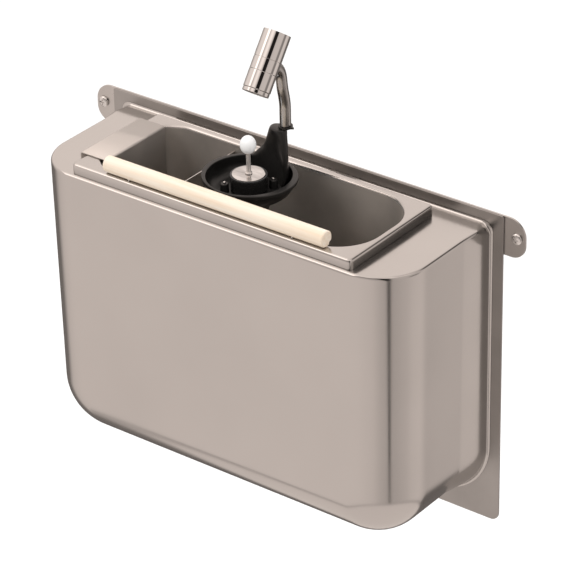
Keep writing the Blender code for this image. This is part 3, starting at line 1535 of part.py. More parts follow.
def build_head(tilt):
    """The head in its own frame: +Z to its top, +Y to the pipe, origin on the tilt axis."""
    middle = (0, -HEAD_PIVOT_BACK, HEAD_PIVOT_DOWN)
    neck_end = HEAD_RADIUS - HEAD_PIVOT_BACK + PIPE_HEAD_GAP
    plug_end = neck_end + BALL_PLUG_LENGTH
    ball = []
    steps = 8
    neck_angle = math.asin(BALL_NECK_RADIUS / BALL_RADIUS)
    for i in range(steps + 1):
        angle = math.pi / 2 - neck_angle - (math.pi - neck_angle) * i / steps
        ball.append((BALL_RADIUS * math.cos(angle), BALL_RADIUS * math.sin(angle)))
    ball[-1] = (0, -BALL_RADIUS)
    turned(
        "head_ball",
        "chrome",
        [
            (0, plug_end),
            (BALL_PLUG_RADIUS, plug_end),
            (BALL_PLUG_RADIUS, neck_end),
            (BALL_NECK_RADIUS, neck_end),
        ]
        + ball,
        steps=SMALL_STEPS,
        rotation=(-math.pi / 2, 0, 0),
        parent=tilt,
    )
    edge = HEAD_EDGE
    groove = HEAD_GROOVE_DOWN
    half = HEAD_GROOVE_WIDTH / 2
    inner = HEAD_RADIUS - HEAD_WALL
    body = turned(
        "spray_head",
        "chrome",
        [
            (0, 0),
            (HEAD_RADIUS - edge, 0),
            (HEAD_RADIUS, -edge),
            (HEAD_RADIUS, half - groove),
            (HEAD_RADIUS - HEAD_GROOVE_DEPTH, -groove),
            (HEAD_RADIUS, -half - groove),
            (HEAD_RADIUS, -HEAD_BODY_LENGTH),
            (HEAD_CORE_RADIUS, -HEAD_BODY_LENGTH),
            (HEAD_CORE_RADIUS, -HEAD_CORE_DOWN),
            (HEAD_CORE_BORE, -HEAD_CORE_DOWN),
            (HEAD_CORE_BORE, -HEAD_CAVITY_DEPTH),
            (inner, -HEAD_CAVITY_DEPTH),
            (inner, -HEAD_WALL),
            (0, -HEAD_WALL),
        ],
        location=middle,
        parent=tilt,
    )
    mouth = round_cutter(
        "mouth_cutter",
        HEAD_MOUTH_RADIUS,
        HEAD_RADIUS - HEAD_PIVOT_BACK + OVERRUN,
        BALL_RADIUS,
        rotation=(-math.pi / 2, 0, 0),
        parent=tilt,
    )
    cut(body, mouth)
    sleeve_top = -HEAD_BODY_LENGTH - CLEAR
    sleeve_low = sleeve_top - SLEEVE_LENGTH
    turned(
        "flow_sleeve",
        "chrome",
        [
            (HEAD_RADIUS - CLEAR, sleeve_top),
            (HEAD_RADIUS, sleeve_top - CLEAR),
            (HEAD_RADIUS, sleeve_low + CLEAR),
            (HEAD_RADIUS - CLEAR, sleeve_low),
            (SLEEVE_INNER_RADIUS, sleeve_low),
            (SLEEVE_INNER_RADIUS, sleeve_top),
        ],
        closed=True,
        location=middle,
        parent=tilt,
    )
    ring_top = sleeve_low - CLEAR
    ring_low = ring_top - AERATOR_LENGTH
    ledge = ring_low + AERATOR_LIP_THICK
    turned(
        "aerator_ring",
        "chrome",
        [
            (AERATOR_SPIGOT_RADIUS, ring_top + AERATOR_SPIGOT_LENGTH),
            (AERATOR_SPIGOT_RADIUS, ring_top),
            (AERATOR_RADIUS, ring_top),
            (AERATOR_RADIUS, ring_low + AERATOR_LIP_THICK),
            (AERATOR_RADIUS - AERATOR_LIP_THICK, ring_low),
            (AERATOR_LIP_RADIUS, ring_low),
            (AERATOR_LIP_RADIUS, ledge),
            (AERATOR_BORE_RADIUS, ledge),
            (AERATOR_BORE_RADIUS, ring_top + AERATOR_SPIGOT_LENGTH),
        ],
        closed=True,
        location=middle,
        parent=tilt,
    )
    low = ledge + CLEAR
    insert_holes = [circle(INSERT_HOLE_RADIUS, 8)] + [
        circle(INSERT_HOLE_RADIUS, 8, centre)
        for centre in circle(INSERT_HOLE_CIRCLE, INSERT_HOLES)
    ]
    flat(
        "aerator_insert",
        "grey_plastic",
        [circle(AERATOR_BORE_RADIUS - CLEAR, ROUND_STEPS)] + insert_holes,
        INSERT_THICK,
        location=(0, middle[1], middle[2] + low + INSERT_THICK / 2),
        parent=tilt,
    )


def main():
    build_strap()
    build_wall_screws()
    build_housing()
    build_socket()
    tank_lift = empty("tank_lift", (0, TANK_Y, RIM_Z))
    build_tank(tank_lift)
    build_baffle(tank_lift)
    build_weir(tank_lift)
    build_bar(tank_lift)
    build_drain(tank_lift)
    build_bowl(tank_lift)
    build_column(tank_lift)
    build_valve(tank_lift)
    build_spout(tank_lift)
    bpy.context.view_layer.update()
    for item in PARTS.objects:
        if item.type == "MESH":
            smooth(item.data)


main()
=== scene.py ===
"""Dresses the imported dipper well: fine pieces, their finishes, and the studio round them.

Metres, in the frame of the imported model: +Z up, +Y into the wall. Each operator makes a piece or a
group of like pieces; main() calls them in order, the finishes first.
"""

import json
import math

import bmesh
import bpy
from bpy.props import FloatProperty, FloatVectorProperty, IntProperty, PointerProperty
from mathutils import Matrix, Vector


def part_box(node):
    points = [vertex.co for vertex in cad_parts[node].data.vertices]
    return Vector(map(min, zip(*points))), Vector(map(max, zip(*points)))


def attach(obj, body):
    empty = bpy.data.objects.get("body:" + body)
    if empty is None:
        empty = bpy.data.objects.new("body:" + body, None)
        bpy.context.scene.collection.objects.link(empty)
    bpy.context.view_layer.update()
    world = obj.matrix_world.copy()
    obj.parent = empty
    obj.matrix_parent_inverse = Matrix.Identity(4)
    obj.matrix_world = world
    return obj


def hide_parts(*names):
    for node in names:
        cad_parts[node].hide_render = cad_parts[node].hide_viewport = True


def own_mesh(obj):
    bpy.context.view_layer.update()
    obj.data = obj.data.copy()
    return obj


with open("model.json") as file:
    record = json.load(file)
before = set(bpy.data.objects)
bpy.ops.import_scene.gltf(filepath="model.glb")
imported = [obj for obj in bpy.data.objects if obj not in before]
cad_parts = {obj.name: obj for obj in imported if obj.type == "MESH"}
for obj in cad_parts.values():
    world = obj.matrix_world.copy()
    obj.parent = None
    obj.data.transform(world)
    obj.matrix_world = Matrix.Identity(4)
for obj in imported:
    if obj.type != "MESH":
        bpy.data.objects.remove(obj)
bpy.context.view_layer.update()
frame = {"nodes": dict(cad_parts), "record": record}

bl_info = {
    "name": "Dipper well dress",
    "version": (1, 0, 0),
    "blender": (4, 5, 0),
    "location": "3D view > Sidebar > Dipper well",
    "description": "Fine pieces, finishes and studio for a wall-hung dipper well",
    "category": "Object",
}


def span(node):
    """The node's box as its centre, its half size and its top and bottom heights."""
    low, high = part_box(node)
    return (low + high) / 2, (high - low) / 2, high.z, low.z


TANK_CENTRE, TANK_HALF, RIM_Z, _ = span("tank")
PLATE_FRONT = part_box("wall_plate")[0].y
VALVE_CENTRE = span("valve_housing")[0]
SPOUT_CENTRE, _, COLLAR_TOP, _ = span("pipe_collar")


def length(name, description, default):
    return FloatProperty(name=name, description=description, default=default, unit="LENGTH")


def angle(name, description, default):
    return FloatProperty(
        name=name, description=description, default=math.radians(default), unit="ROTATION"
    )


def share(name, description, default):
    return FloatProperty(name=name, description=description, default=default, subtype="FACTOR")


def power(name, description, default):
    return FloatProperty(name=name, description=description, default=default, unit="POWER")


def colour(name, description, default):
    return FloatVectorProperty(
        name=name, description=description, default=default, subtype="COLOR", min=0, max=1
    )


class MountingSizes(bpy.types.PropertyGroup):
    strap_top_radius: length("Strap top corner", "Radius of the strap's upper corners", 0.018)
    strap_low_radius: length("Strap low corner", "Radius of the strap's lower corners", 0.015)
    plate_top_radius: length("Plate top corner", "Radius of the plate's upper corners", 0.002)
    plate_low_radius: length("Plate low corner", "Radius of the plate's lower corners", 0.0095)
    edge: length("Edge", "Rounding of a cut sheet edge", 0.0003)
    hole_radius: length("Screw hole", "Radius of the holes in the ears", 0.0029)
    recess_width: length("Recess width", "Width of the screws' cross recess", 0.0013)
    recess_length: length("Recess length", "Length of the screws' cross recess", 0.0062)
    recess_depth: length("Recess depth", "Depth of the screws' cross recess", 0.0016)


class HousingSizes(bpy.types.PropertyGroup):
    reach: length("Reach", "From the plate to the front", 0.147)
    width: length("Width", "Width at the deck", 0.4252)
    deck_drop: length("Deck drop", "Deck below the tank's rim", 0.01084)
    bottom_drop: length("Bottom drop", "Bottom below the tank's rim", 0.308)
    wall: length("Wall", "Sheet thickness", 0.0012)
    deck_edge: length("Deck edge", "Radius of the deck's edge", 0.0035)
    plan_radius: length("Plan corner", "Radius of the front corners seen from above", 0.051)
    front_low_radius: length("Front low", "Radius between front and bottom", 0.055)
    side_low_radius: length("Side low", "Radius between sides and bottom", 0.059)
    draft: length("Draft", "How far each side draws in towards the bottom", 0.0025)
    flare_reach: length("Flare reach", "Where the sides start to spread towards the plate", 0.036)
    flare_spread: length("Flare spread", "Spread of the sides at the plate's fillet", 0.0035)
    fillet: length("Fillet", "Radius of the fillet on the plate", 0.003)
    fillet_edge: length("Fillet corner", "Radius of the fillet's upper corners", 0.0105)
    corner_reach: length("Corner reach", "Where the upper corners have turned sharp", 0.014)
    top_share: share("Top share", "Part of the flare's spread that the top takes", 0.2)
    deck_hole_margin: length("Deck hole", "Deck hole beyond the tank's mouth", 0.0035)


class TankSizes(bpy.types.PropertyGroup):
    depth: length("Depth", "From the rim to the floor inside", 0.150)
    wall: length("Wall", "Sheet thickness", 0.0008)
    end_flange: length("End flange", "Rim width at the ends", 0.0075)
    side_flange: length("Side flange", "Rim width along the sides", 0.0085)
    outer_radius: length("Outer corner", "Radius of the rim's corners", 0.0048)
    mouth_radius: length("Mouth corner", "Radius of the mouth's corners", 0.0435)
    taper: length("Taper", "How far each wall stands in at the floor", 0.005)
    floor_radius: length("Floor radius", "Radius between wall and floor", 0.012)
    bend: length("Bend", "Radius of the rim's bends", 0.0034)
    foot: length("Foot", "Height of the folded skirt", 0.0106)
    baffle_bend: length("Baffle bend", "Radius of the baffle's bends", 0.0022)
    baffle_wall: length("Baffle wall", "Sheet thickness of the baffle", 0.001)
    bar_chamfer: length("Bar chamfer", "Broken edge of the wooden bar", 0.0008)
    bar_nick: length("Bar nick", "Size of the chip at the bar's end", 0.0026)
    bar_cut: length("Bar cut", "How far the bar's left end stops short", 0.0036)


class BowlSizes(bpy.types.PropertyGroup):
    length: length("Length", "Lip along the wall", 0.0930)
    width: length("Width", "Lip across", 0.0856)
    lip_x: length("Lip place", "Lip's middle to the right of the tank's", 0.0005)
    lip_shift: length("Lip shift", "Lip's middle behind the tank's middle line", -0.0008)
    lip_height: length("Lip height", "Lip above the tank's rim", 0.0097)
    lip_wall: length("Lip wall", "Height of the lip's edge", 0.0032)
    lip_round: length("Lip round", "Rounding of the lip", 0.0009)
    dish_radius: length("Dish radius", "Radius of the dish", 0.0403)
    dish_fillet: length("Dish fillet", "Radius at the dish's floor", 0.011)
    dish_depth: length("Dish depth", "Dish floor below the tank's rim", 0.006)
    dish_shift: length("Dish shift", "Dish behind the tank's middle line", -0.0013)
    dish_x: length("Dish place", "Dish to the right of the tank's middle", -0.0001)
    funnel_end: length("Funnel end", "End of the funnel below the rim", 0.032)
    column_radius: length("Column radius", "Radius where the funnel meets its column", 0.0168)
    bore_radius: length("Bore radius", "Bore for the valve's tail", 0.0113)
    pillar_height: length("Pillar height", "Spout pillar above the tank's rim", 0.050)
    pillar_x: length("Pillar place", "Pillar's centre to the right of the middle", -0.002)
    pillar_shift: length("Pillar shift", "Pillar's centre behind the middle line", 0.0005)
    pillar_radius: length("Pillar radius", "Radius that the pillar's shares refer to", 0.0402)
    spigot_hole: length("Spigot hole", "Radius of the hole for the collar's spigot", 0.0018)
    spigot_depth: length("Spigot depth", "Depth of that hole", 0.0073)
    post_radius: length("Post radius", "Foot radius of the screw posts", 0.0046)
    post_top_radius: length("Post top", "Top radius of the screw posts", 0.0038)
    post_height: length("Post height", "Screw posts above the rim", 0.0022)


class ValveSizes(bpy.types.PropertyGroup):
    stem_radius: length("Stem radius", "Radius of the stem above its hub", 0.0022)
    hub_rise: length("Hub rise", "Height of the hollow between hub and stem", 0.003)
    hub_foot: length("Hub foot", "Height of the hub's upright edge", 0.0008)
    knob_rise: length("Knob rise", "From the knob's widest place to its top", 0.0091)
    knob_bore: length("Knob bore", "Bore radius of the knob", 0.0025)
    knob_depth: length("Knob depth", "Depth of the knob's bore", 0.0075)
    spring_wire: length("Spring wire", "Radius of the spring's wire", 0.00055)
    spring_turns: IntProperty(
        name="Spring turns", description="Turns of the return spring", default=6, min=1
    )


class SpoutSizes(bpy.types.PropertyGroup):
    pipe_radius: length("Pipe radius", "Outer radius of the pipe", 0.00535)
    pipe_bore: length("Pipe bore", "Bore radius of the pipe", 0.0041)
    straight: length("Straight", "Upright start of the pipe above the collar's foot", 0.0205)
    lean: length("Lean", "How far the pipe leans forward before it bends", 0.0035)
    lean_rise: length("Lean height", "Height of that place", 0.042)
    bend_length: length("Bend length", "Length of the pipe's bend into the head", 0.011)
    head_tilt: angle("Head tilt", "Spray head from the upright", 36.1)
    head_radius: length("Head radius", "Outer radius of the spray head", 0.0131)
    head_top_back: length("Head place", "Top of the head's axis before the plate", 0.0548)
    head_top_height: length("Head height", "Top of the head's axis above the rim", 0.1498)
    pivot_down: length("Pivot down", "Ball below the head's top", 0.0286)
    pivot_back: length("Pivot back", "Ball behind the head's axis", 0.006)
    pipe_head_gap: length("Pipe gap", "Between the pipe's end and the head", 0.0027)
    mouth_radius: length("Mouth radius", "Radius of the head's opening for the pipe", 0.0059)
    head_edge: length("Head edge", "Rounding of the head's edges", 0.0005)
    body_length: length("Body length", "Length of the head's upper body", 0.038)
    groove_down: length("Groove", "Groove below the head's top", 0.026)
    groove_width: length("Groove width", "Width of the groove", 0.0007)
    groove_depth: length("Groove depth", "Depth of the groove", 0.0005)
    sleeve_length: length("Sleeve length", "Length of the turning sleeve", 0.0168)
    aerator_radius: length("Aerator radius", "Outer radius of the aerator ring", 0.0127)
    aerator_length: length("Aerator length", "Visible length of the aerator ring", 0.0037)
    gap: length("Gap", "Gap between the head's pieces", 0.0003)


class Finishes(bpy.types.PropertyGroup):
    steel: colour("Steel", "Satin stainless sheet", (0.62, 0.604, 0.588))
    mill_steel: colour("Mill steel", "Duller sheet of the plate and strap", (0.43, 0.417, 0.405))
    tank_steel: colour("Tank steel", "Drawn stainless of the tank", (0.62, 0.604, 0.588))
    tank_inside: colour("Tank inside", "Satin walls inside the tank", (0.42, 0.375, 0.335))
    baffle: colour("Baffle steel", "Dull sheet of the end baffle", (0.62, 0.585, 0.555))
    baffle_cloud: colour("Baffle clouds", "Darker clouds on the baffle", (0.59, 0.557, 0.528))
    chrome: colour("Chrome", "Polished chrome plate", (0.80, 0.79, 0.78))
    rod: colour("Stem steel", "Stem of the push valve", (0.80, 0.74, 0.70))
    rod_cloud: colour("Stem clouds", "Darker clouds on the stem", (0.72, 0.66, 0.62))
    plastic: colour("Black plastic", "Bowl, valve and collar", (0.008, 0.0075, 0.007))
    grey: colour("Grey plastic", "Valve ring and aerator insert", (0.03, 0.03, 0.03))
    white: colour("White plastic", "Knob and plunger", (0.95, 0.935, 0.925))
    beech: colour("Beech", "Knock bar", (0.88, 0.77, 0.65))
    beech_grain: colour("Beech grain", "Darker lines of the knock bar", (0.81, 0.65, 0.49))
    rubber: colour("Rubber", "Seals and grommet", (0.03, 0.03, 0.03))
    brass: colour("Brass", "Inlet fittings", (0.66, 0.47, 0.20))
    spring: colour("Spring steel", "Return spring", (0.50, 0.49, 0.47))


class StageSettings(bpy.types.PropertyGroup):
    camera_place: FloatVectorProperty(
        name="Camera place",
        description="Where the camera stands",
        default=(1.63319, -2.13859, 1.40552),
        subtype="TRANSLATION",
    )
    azimuth: angle("Azimuth", "Camera to the right of straight ahead", 37.788)
    elevation: angle("Elevation", "Camera above the level", 29.696)
    roll: angle("Roll", "Camera turned about its own line of sight", -1.212)
    focal_length: FloatProperty(
        name="Focal length", description="Lens in millimetres", default=202.4
    )
    floor_drop: length("Floor", "Floor below the wall screws", 0.62)
    floor_size: length("Floor size", "Width of the floor", 12.0)
    dome_radius: length("Dome radius", "Radius of the dome that polished surfaces show", 6.0)
    room_light: FloatProperty(name="Room light", description="Strength of the world", default=0.88)
    key_power: power("Key power", "Lamp in front on the left", 32.0)
    fill_power: power("Fill power", "Lamp on the right", 18.0)
    top_power: power("Top power", "Lamp above", 22.0)


TURN_STEPS = 96
DOME_STEPS = 360
BEND_STEPS = 8
CORNER_STEPS = 16
FRONT_STEPS = 28
MERGE = 1e-6
OVERRUN = 0.002
GAP = 0.0003
SHARP_ANGLE = math.radians(32)


# Finishes

FINISHES = {}
COAT_IOR = 1.45
CLOUD_RANGE = 0.3, 0.7
# Range of the inside walls' clouds: random tone whose lighter parts are also painted light patches.
INSIDE_CLOUDS_AND_LIGHT_PATCHES = 0.9, 1.35


def link(tree, source, output, target, input_name):
    tree.links.new(source.outputs[output], target.inputs[input_name])


def add_node(tree, kind, **settings):
    node = tree.nodes.new(kind)
    for name, value in settings.items():
        if name in node.inputs:
            node.inputs[name].default_value = value
        else:
            setattr(node, name, value)
    return node


def bare_tree(owner, kind):
    """The owner's node tree with nothing in it but a new output."""
    owner.use_nodes = True
    owner.node_tree.nodes.clear()
    return owner.node_tree, add_node(owner.node_tree, kind)


def new_group(name, sockets):
    """A node group with these (name, direction, kind, default) sockets."""
    group = bpy.data.node_groups.new(name, "ShaderNodeTree")
    for label, direction, kind, default in sockets:
        socket = group.interface.new_socket(label, in_out=direction, socket_type=kind)
        if default is not None:
            socket.default_value = default
    return group, group.nodes.new("NodeGroupInput"), group.nodes.new("NodeGroupOutput")


def stretched_noise(group, entry, stretch, scale, detail):
    """Noise on the group's Vector input, drawn out by its Stretch input."""
    product = group.nodes.new("ShaderNodeVectorMath")
    product.operation = "MULTIPLY"
    link(group, entry, "Vector", product, 0)
    link(group, entry, stretch, product, 1)
    noise = add_node(group, "ShaderNodeTexNoise", Detail=detail)
    link(group, product, "Vector", noise, "Vector")
    link(group, entry, scale, noise, "Scale")
    return noise


def make_surface_group():
    """Fine lines or grain as a height, and slow clouds as a mask."""
    group, entry, out = new_group(
        "surface_wear",
        [
            ("Vector", "INPUT", "NodeSocketVector", None),
            ("Stretch", "INPUT", "NodeSocketVector", (1, 1, 1)),
            ("Grain Scale", "INPUT", "NodeSocketFloat", 900.0),
            ("Cloud Stretch", "INPUT", "NodeSocketVector", (1, 1, 1)),
            ("Cloud Scale", "INPUT", "NodeSocketFloat", 8.0),
            ("Height", "OUTPUT", "NodeSocketFloat", None),
            ("Cloud", "OUTPUT", "NodeSocketFloat", None),
        ],
    )
    grain = stretched_noise(group, entry, "Stretch", "Grain Scale", 2.0)
    cloud = stretched_noise(group, entry, "Cloud Stretch", "Cloud Scale", 4.0)
    faint, full = CLOUD_RANGE
    spread = add_node(group, "ShaderNodeMapRange", **{"From Min": faint, "From Max": full})
    link(group, cloud, "Fac", spread, "Value")
    link(group, grain, "Fac", out, "Height")
    link(group, spread, "Result", out, "Cloud")
    return group


def mixed_tones(tree, tone, second_tone):
    """A mix of two colours, whose factor is still to be linked."""
    return add_node(
        tree, "ShaderNodeMix", data_type="RGBA", A=(*tone, 1), B=(*second_tone, 1)
    )


def coated_material(wear_group, name, tone, second_tone, look):
    """A material whose colour and roughness drift with clouds, over a fine relief."""
    material = bpy.data.materials.new(name)
    material.use_nodes = True
    tree = material.node_tree
    shader = tree.nodes["Principled BSDF"]
    shader.inputs["Metallic"].default_value = look.get("metallic", 0.0)
    shader.inputs["IOR"].default_value = COAT_IOR
    shader.inputs["Specular IOR Level"].default_value = look.get("gloss", 0.5)
    place = add_node(tree, "ShaderNodeTexCoord")
    wear = add_node(tree, "ShaderNodeGroup", node_tree=wear_group)
    wear.inputs["Stretch"].default_value = look.get("stretch", (1, 1, 1))
    wear.inputs["Grain Scale"].default_value = look["grain"]
    wear.inputs["Cloud Stretch"].default_value = look.get("cloud_stretch", (1, 1, 1))
    wear.inputs["Cloud Scale"].default_value = look.get("cloud", 9.0)
    link(tree, place, "Object", wear, "Vector")
    tones = mixed_tones(tree, tone, second_tone)
    link(tree, wear, "Cloud", tones, "Factor")
    smoothest, roughest = look["rough"]
    rough = add_node(tree, "ShaderNodeMapRange", **{"To Min": smoothest, "To Max": roughest})
    link(tree, wear, "Cloud", rough, "Value")
    if "inside" in look:
        dull_inside_with_painted_light(tree, shader, wear, tones, rough, *look["inside"])
    else:
        link(tree, tones, "Result", shader, "Base Color")
        link(tree, rough, "Result", shader, "Roughness")
    bump = add_node(tree, "ShaderNodeBump", Strength=look["bump"], Distance=look["relief"])
    link(tree, wear, "Height", bump, "Height")
    link(tree, bump, "Normal", shader, "Normal")
    material.diffuse_color = (*tone, 1)
    return material


def dull_inside_with_painted_light(tree, shader, wear, tones, rough, tone, foot_shade_tone, metallic, roughness):
    """Inside the tank the sheet is duller and rougher, with lighter clouds as painted light patches;
    its folded skirt takes painted shade that darkens downwards.
    """
    inside = add_node(tree, "ShaderNodeAttribute", attribute_name="inside")
    # Painted shade: the foot mask darkens the skirt's colour towards its lower edge.
    foot = add_node(tree, "ShaderNodeAttribute", attribute_name="foot")
    skirt = add_node(tree, "ShaderNodeMix", data_type="RGBA", B=(*foot_shade_tone, 1))
    link(tree, foot, "Fac", skirt, "Factor")
    link(tree, tones, "Result", skirt, "A")
    # Random clouds whose lighter parts are painted light patches on the walls.
    clouds = mixed_tones(tree, *(scaled(tone, strength) for strength in INSIDE_CLOUDS_AND_LIGHT_PATCHES))
    link(tree, wear, "Cloud", clouds, "Factor")
    blended = add_node(tree, "ShaderNodeMix", data_type="RGBA")
    link(tree, inside, "Fac", blended, "Factor")
    link(tree, skirt, "Result", blended, "A")
    link(tree, clouds, "Result", blended, "B")
    link(tree, blended, "Result", shader, "Base Color")
    for source, value, name in ((rough, roughness, "Roughness"), (None, metallic, "Metallic")):
        blend = add_node(tree, "ShaderNodeMix", data_type="FLOAT", A=1.0, B=value)
        link(tree, inside, "Fac", blend, "Factor")
        if source:
            link(tree, source, "Result", blend, "A")
        link(tree, blend, "Result", shader, name)


def scaled(tone, factor):
    """The tone made darker or lighter, kept below full white."""
    return tuple(min(1.0, channel * factor) for channel in tone)


def finish_looks(tones):
    """Each finish as its tone, its second tone and how its surface is worked."""
    steel = tuple(tones.steel)
    tank = tuple(tones.tank_steel)
    chrome = tuple(tones.chrome)
    lines_up = (1, 1, 0.012)
    lines_along = (0.012, 1, 1)
    sheet = {"metallic": 1.0, "rough": (0.13, 0.2), "grain": 1400.0, "bump": 0.05, "relief": 3e-5}
    plastic = {
        "rough": (0.28, 0.37),
        "gloss": 0.5,
        "grain": 2600.0,
        "bump": 0.2,
        "relief": 4e-5,
        "cloud": 40.0,
    }
    polish = {
        "metallic": 1.0,
        "rough": (0.035, 0.07),
        "grain": 500.0,
        "bump": 0.01,
        "relief": 2e-5,
    }
    black = tuple(tones.plastic)
    grey = tuple(tones.grey)
    white = tuple(tones.white)
    return {
        "upright_steel": (steel, scaled(steel, 0.965), sheet | {"stretch": lines_up}),
        "long_steel": (steel, scaled(steel, 0.96), sheet | {"stretch": lines_along}),
        "mill_steel": (
            tuple(tones.mill_steel),
            scaled(tones.mill_steel, 0.9),
            sheet | {"stretch": lines_along, "rough": (0.28, 0.38), "cloud": 24.0},
        ),
        "strap_steel": (
            scaled(tones.mill_steel, 1.45),
            scaled(tones.mill_steel, 1.3),
            sheet | {"stretch": lines_along, "rough": (0.26, 0.34), "cloud": 24.0},
        ),
        "tank_steel": (
            tank,
            scaled(tank, 0.94),
            sheet
            | {
                "stretch": lines_up,
                "rough": (0.14, 0.2),
                "cloud": 14.0,
                # Inside tone, the painted shade tone of the skirt's foot, then the metallic and
                # roughness inside.
                "inside": (tuple(tones.tank_inside), scaled(steel, 0.75), 0.55, 0.36),
            },
        ),
        "baffle_steel": (
            tuple(tones.baffle),
            tuple(tones.baffle_cloud),
            sheet | {"metallic": 0.85, "stretch": lines_up, "rough": (0.4, 0.48)},
        ),
        "chrome": (chrome, scaled(chrome, 0.97), polish),
        # The push disc's chrome: a wavy relief, and darker streaked clouds that are painted
        # reflections of the stem, knob and pillar.
        "wavy_chrome": (
            chrome,
            scaled(chrome, 0.5),
            polish
            | {
                "grain": 110.0,
                "bump": 0.5,
                "relief": 4e-4,
                "cloud_stretch": (0.35, 1, 1),
                "cloud": 90.0,
            },
        ),
        "rod_steel": (
            tuple(tones.rod),
            tuple(tones.rod_cloud),
            polish | {"metallic": 0.6, "rough": (0.22, 0.3)},
        ),
        "satin_chrome": (
            scaled(chrome, 0.55),
            scaled(chrome, 0.5),
            polish
            | {
                "rough": (0.19, 0.21),
                "stretch": lines_up,
                "cloud_stretch": (1, 1, 0.3),
                "cloud": 60.0,
            },
        ),
        "black_plastic": (black, scaled(black, 1.5), plastic),
        "smooth_black": (black, scaled(black, 1.4), plastic | {"rough": (0.2, 0.28), "bump": 0.1}),
        "grey_plastic": (grey, scaled(grey, 1.2), plastic),
        "white_plastic": (
            white,
            scaled(white, 0.96),
            plastic | {"rough": (0.35, 0.45), "gloss": 0.4, "grain": 1500.0},
        ),
        "beech": (
            tuple(tones.beech),
            tuple(tones.beech_grain),
            {
                "rough": (0.5, 0.62),
                "stretch": (0.03, 1, 1),
                "grain": 1500.0,
                "bump": 0.3,
                "relief": 5e-5,
                "cloud_stretch": (0.04, 1, 1),
                "cloud": 260.0,
            },
        ),
        "rubber": (
            tuple(tones.rubber),
            scaled(tones.rubber, 1.6),
            plastic | {"rough": (0.6, 0.75)},
        ),
        "brass": (tuple(tones.brass), scaled(tones.brass, 0.85), sheet | {"rough": (0.2, 0.32)}),
        "spring_steel": (tuple(tones.spring), scaled(tones.spring, 0.85), sheet),
    }


class MakeFinishes(bpy.types.Operator):
    """Make the material of every finish.

    All of them share one node group, which gives the fine relief and the slow clouds.
    """

    bl_idname = "dipper_well.finishes"
    bl_label = "Finishes"

    def execute(self, context):
        wear_group = make_surface_group()
        for name, look in finish_looks(context.scene.dipper_finishes).items():
            FINISHES[name] = coated_material(wear_group, name, *look)
        return {"FINISHED"}


# Shapes

def quarter(steps):
    """The angles of a quarter turn, in equal steps from 0."""
    return [math.pi / 2 * i / steps for i in range(steps + 1)]


def whole_turn(steps):
    """The angles of a whole turn, in equal steps from 0."""
    return [math.tau * i / steps for i in range(steps)]


def circle_ring(radius_x, radius_y, centre, height, steps=TURN_STEPS):
    return [
        Vector((centre[0] + radius_x * math.cos(a), centre[1] + radius_y * math.sin(a), height))
        for a in whole_turn(steps)
    ]


def rounded_ring(half_x, half_y, radius, height, centre=(0, 0)):
    """A rounded rectangle, counter-clockwise from above."""
    ring = []
    for corner, (side_x, side_y) in enumerate(((1, 1), (-1, 1), (-1, -1), (1, -1))):
        for i in range(CORNER_STEPS + 1):
            turn = math.pi / 2 * (corner + i / CORNER_STEPS)
            ring.append(
                Vector(
                    (
                        centre[0] + side_x * (half_x - radius) + radius * math.cos(turn),
                        centre[1] + side_y * (half_y - radius) + radius * math.sin(turn),
                        height,
                    )
                )
            )
    return ring


def upright_outline(half_x, top, bottom, top_radius, low_radius):
    """A rounded outline in X and Z, clockwise as seen from the front."""
    corners = (
        (1, top - top_radius, top_radius, 90),
        (1, bottom + low_radius, low_radius, 0),
        (-1, bottom + low_radius, low_radius, -90),
        (-1, top - top_radius, top_radius, -180),
    )
    outline = []
    for side, middle, radius, start in corners:
        for i in range(CORNER_STEPS + 1):
            turn = math.radians(start - 90 * i / CORNER_STEPS)
            outline.append(
                (
                    side * (half_x - radius) + radius * math.cos(turn),
                    middle + radius * math.sin(turn),
                )
            )
    return outline


def new_ring(shape, ring):
    corners = [shape.verts.new(point) for point in ring]
    for first, second in zip(corners, corners[1:] + corners[:1]):
        shape.edges.new((first, second))
    return corners


def extruded_rings(shape, rings, cap_first=False, cap_last=False, cyclic=False):
    """Extrudes a first ring through the others, each with as many points."""
    first = corners = new_ring(shape, rings[0])
    for ring in rings[1:]:
        edges = [
            shape.edges.get((a, b)) for a, b in zip(corners, corners[1:] + corners[:1])
        ]
        grown = bmesh.ops.extrude_edge_only(shape, edges=edges)["geom"]
        fresh = {v for v in grown if isinstance(v, bmesh.types.BMVert)}
        following = []
        for corner in corners:
            other = [e.other_vert(corner) for e in corner.link_edges]
            following.append(next(v for v in other if v in fresh))
        for corner, point in zip(following, ring):
            corner.co = point
        corners = following
    if cap_first:
        shape.faces.new(first)
    if cap_last:
        shape.faces.new(corners)
    if cyclic:
        edges = [
            shape.edges.get((a, b))
            for loop in (first, corners)
            for a, b in zip(loop, loop[1:] + loop[:1])
        ]
        bmesh.ops.bridge_loops(shape, edges=edges)
    bmesh.ops.recalc_face_normals(shape, faces=shape.faces)
    return corners


def turned_shape(profile, closed=False, steps=TURN_STEPS):
    """Spins (radius, height) points about Z."""
    shape = bmesh.new()
    points = [shape.verts.new((radius, 0, height)) for radius, height in profile]
    pairs = list(zip(points, points[1:]))
    if closed:
        pairs.append((points[-1], points[0]))
    edges = [shape.edges.new(pair) for pair in pairs]
    bmesh.ops.spin(
        shape,
        geom=points + edges,
        cent=(0, 0, 0),
        axis=(0, 0, 1),
        angle=math.tau,
        steps=steps,
        use_merge=True,
    )
    bmesh.ops.remove_doubles(shape, verts=shape.verts, dist=MERGE)
    bmesh.ops.recalc_face_normals(shape, faces=shape.faces)
    return shape


def moved(shape, matrix):
    bmesh.ops.transform(shape, matrix=matrix, verts=shape.verts)
    return shape


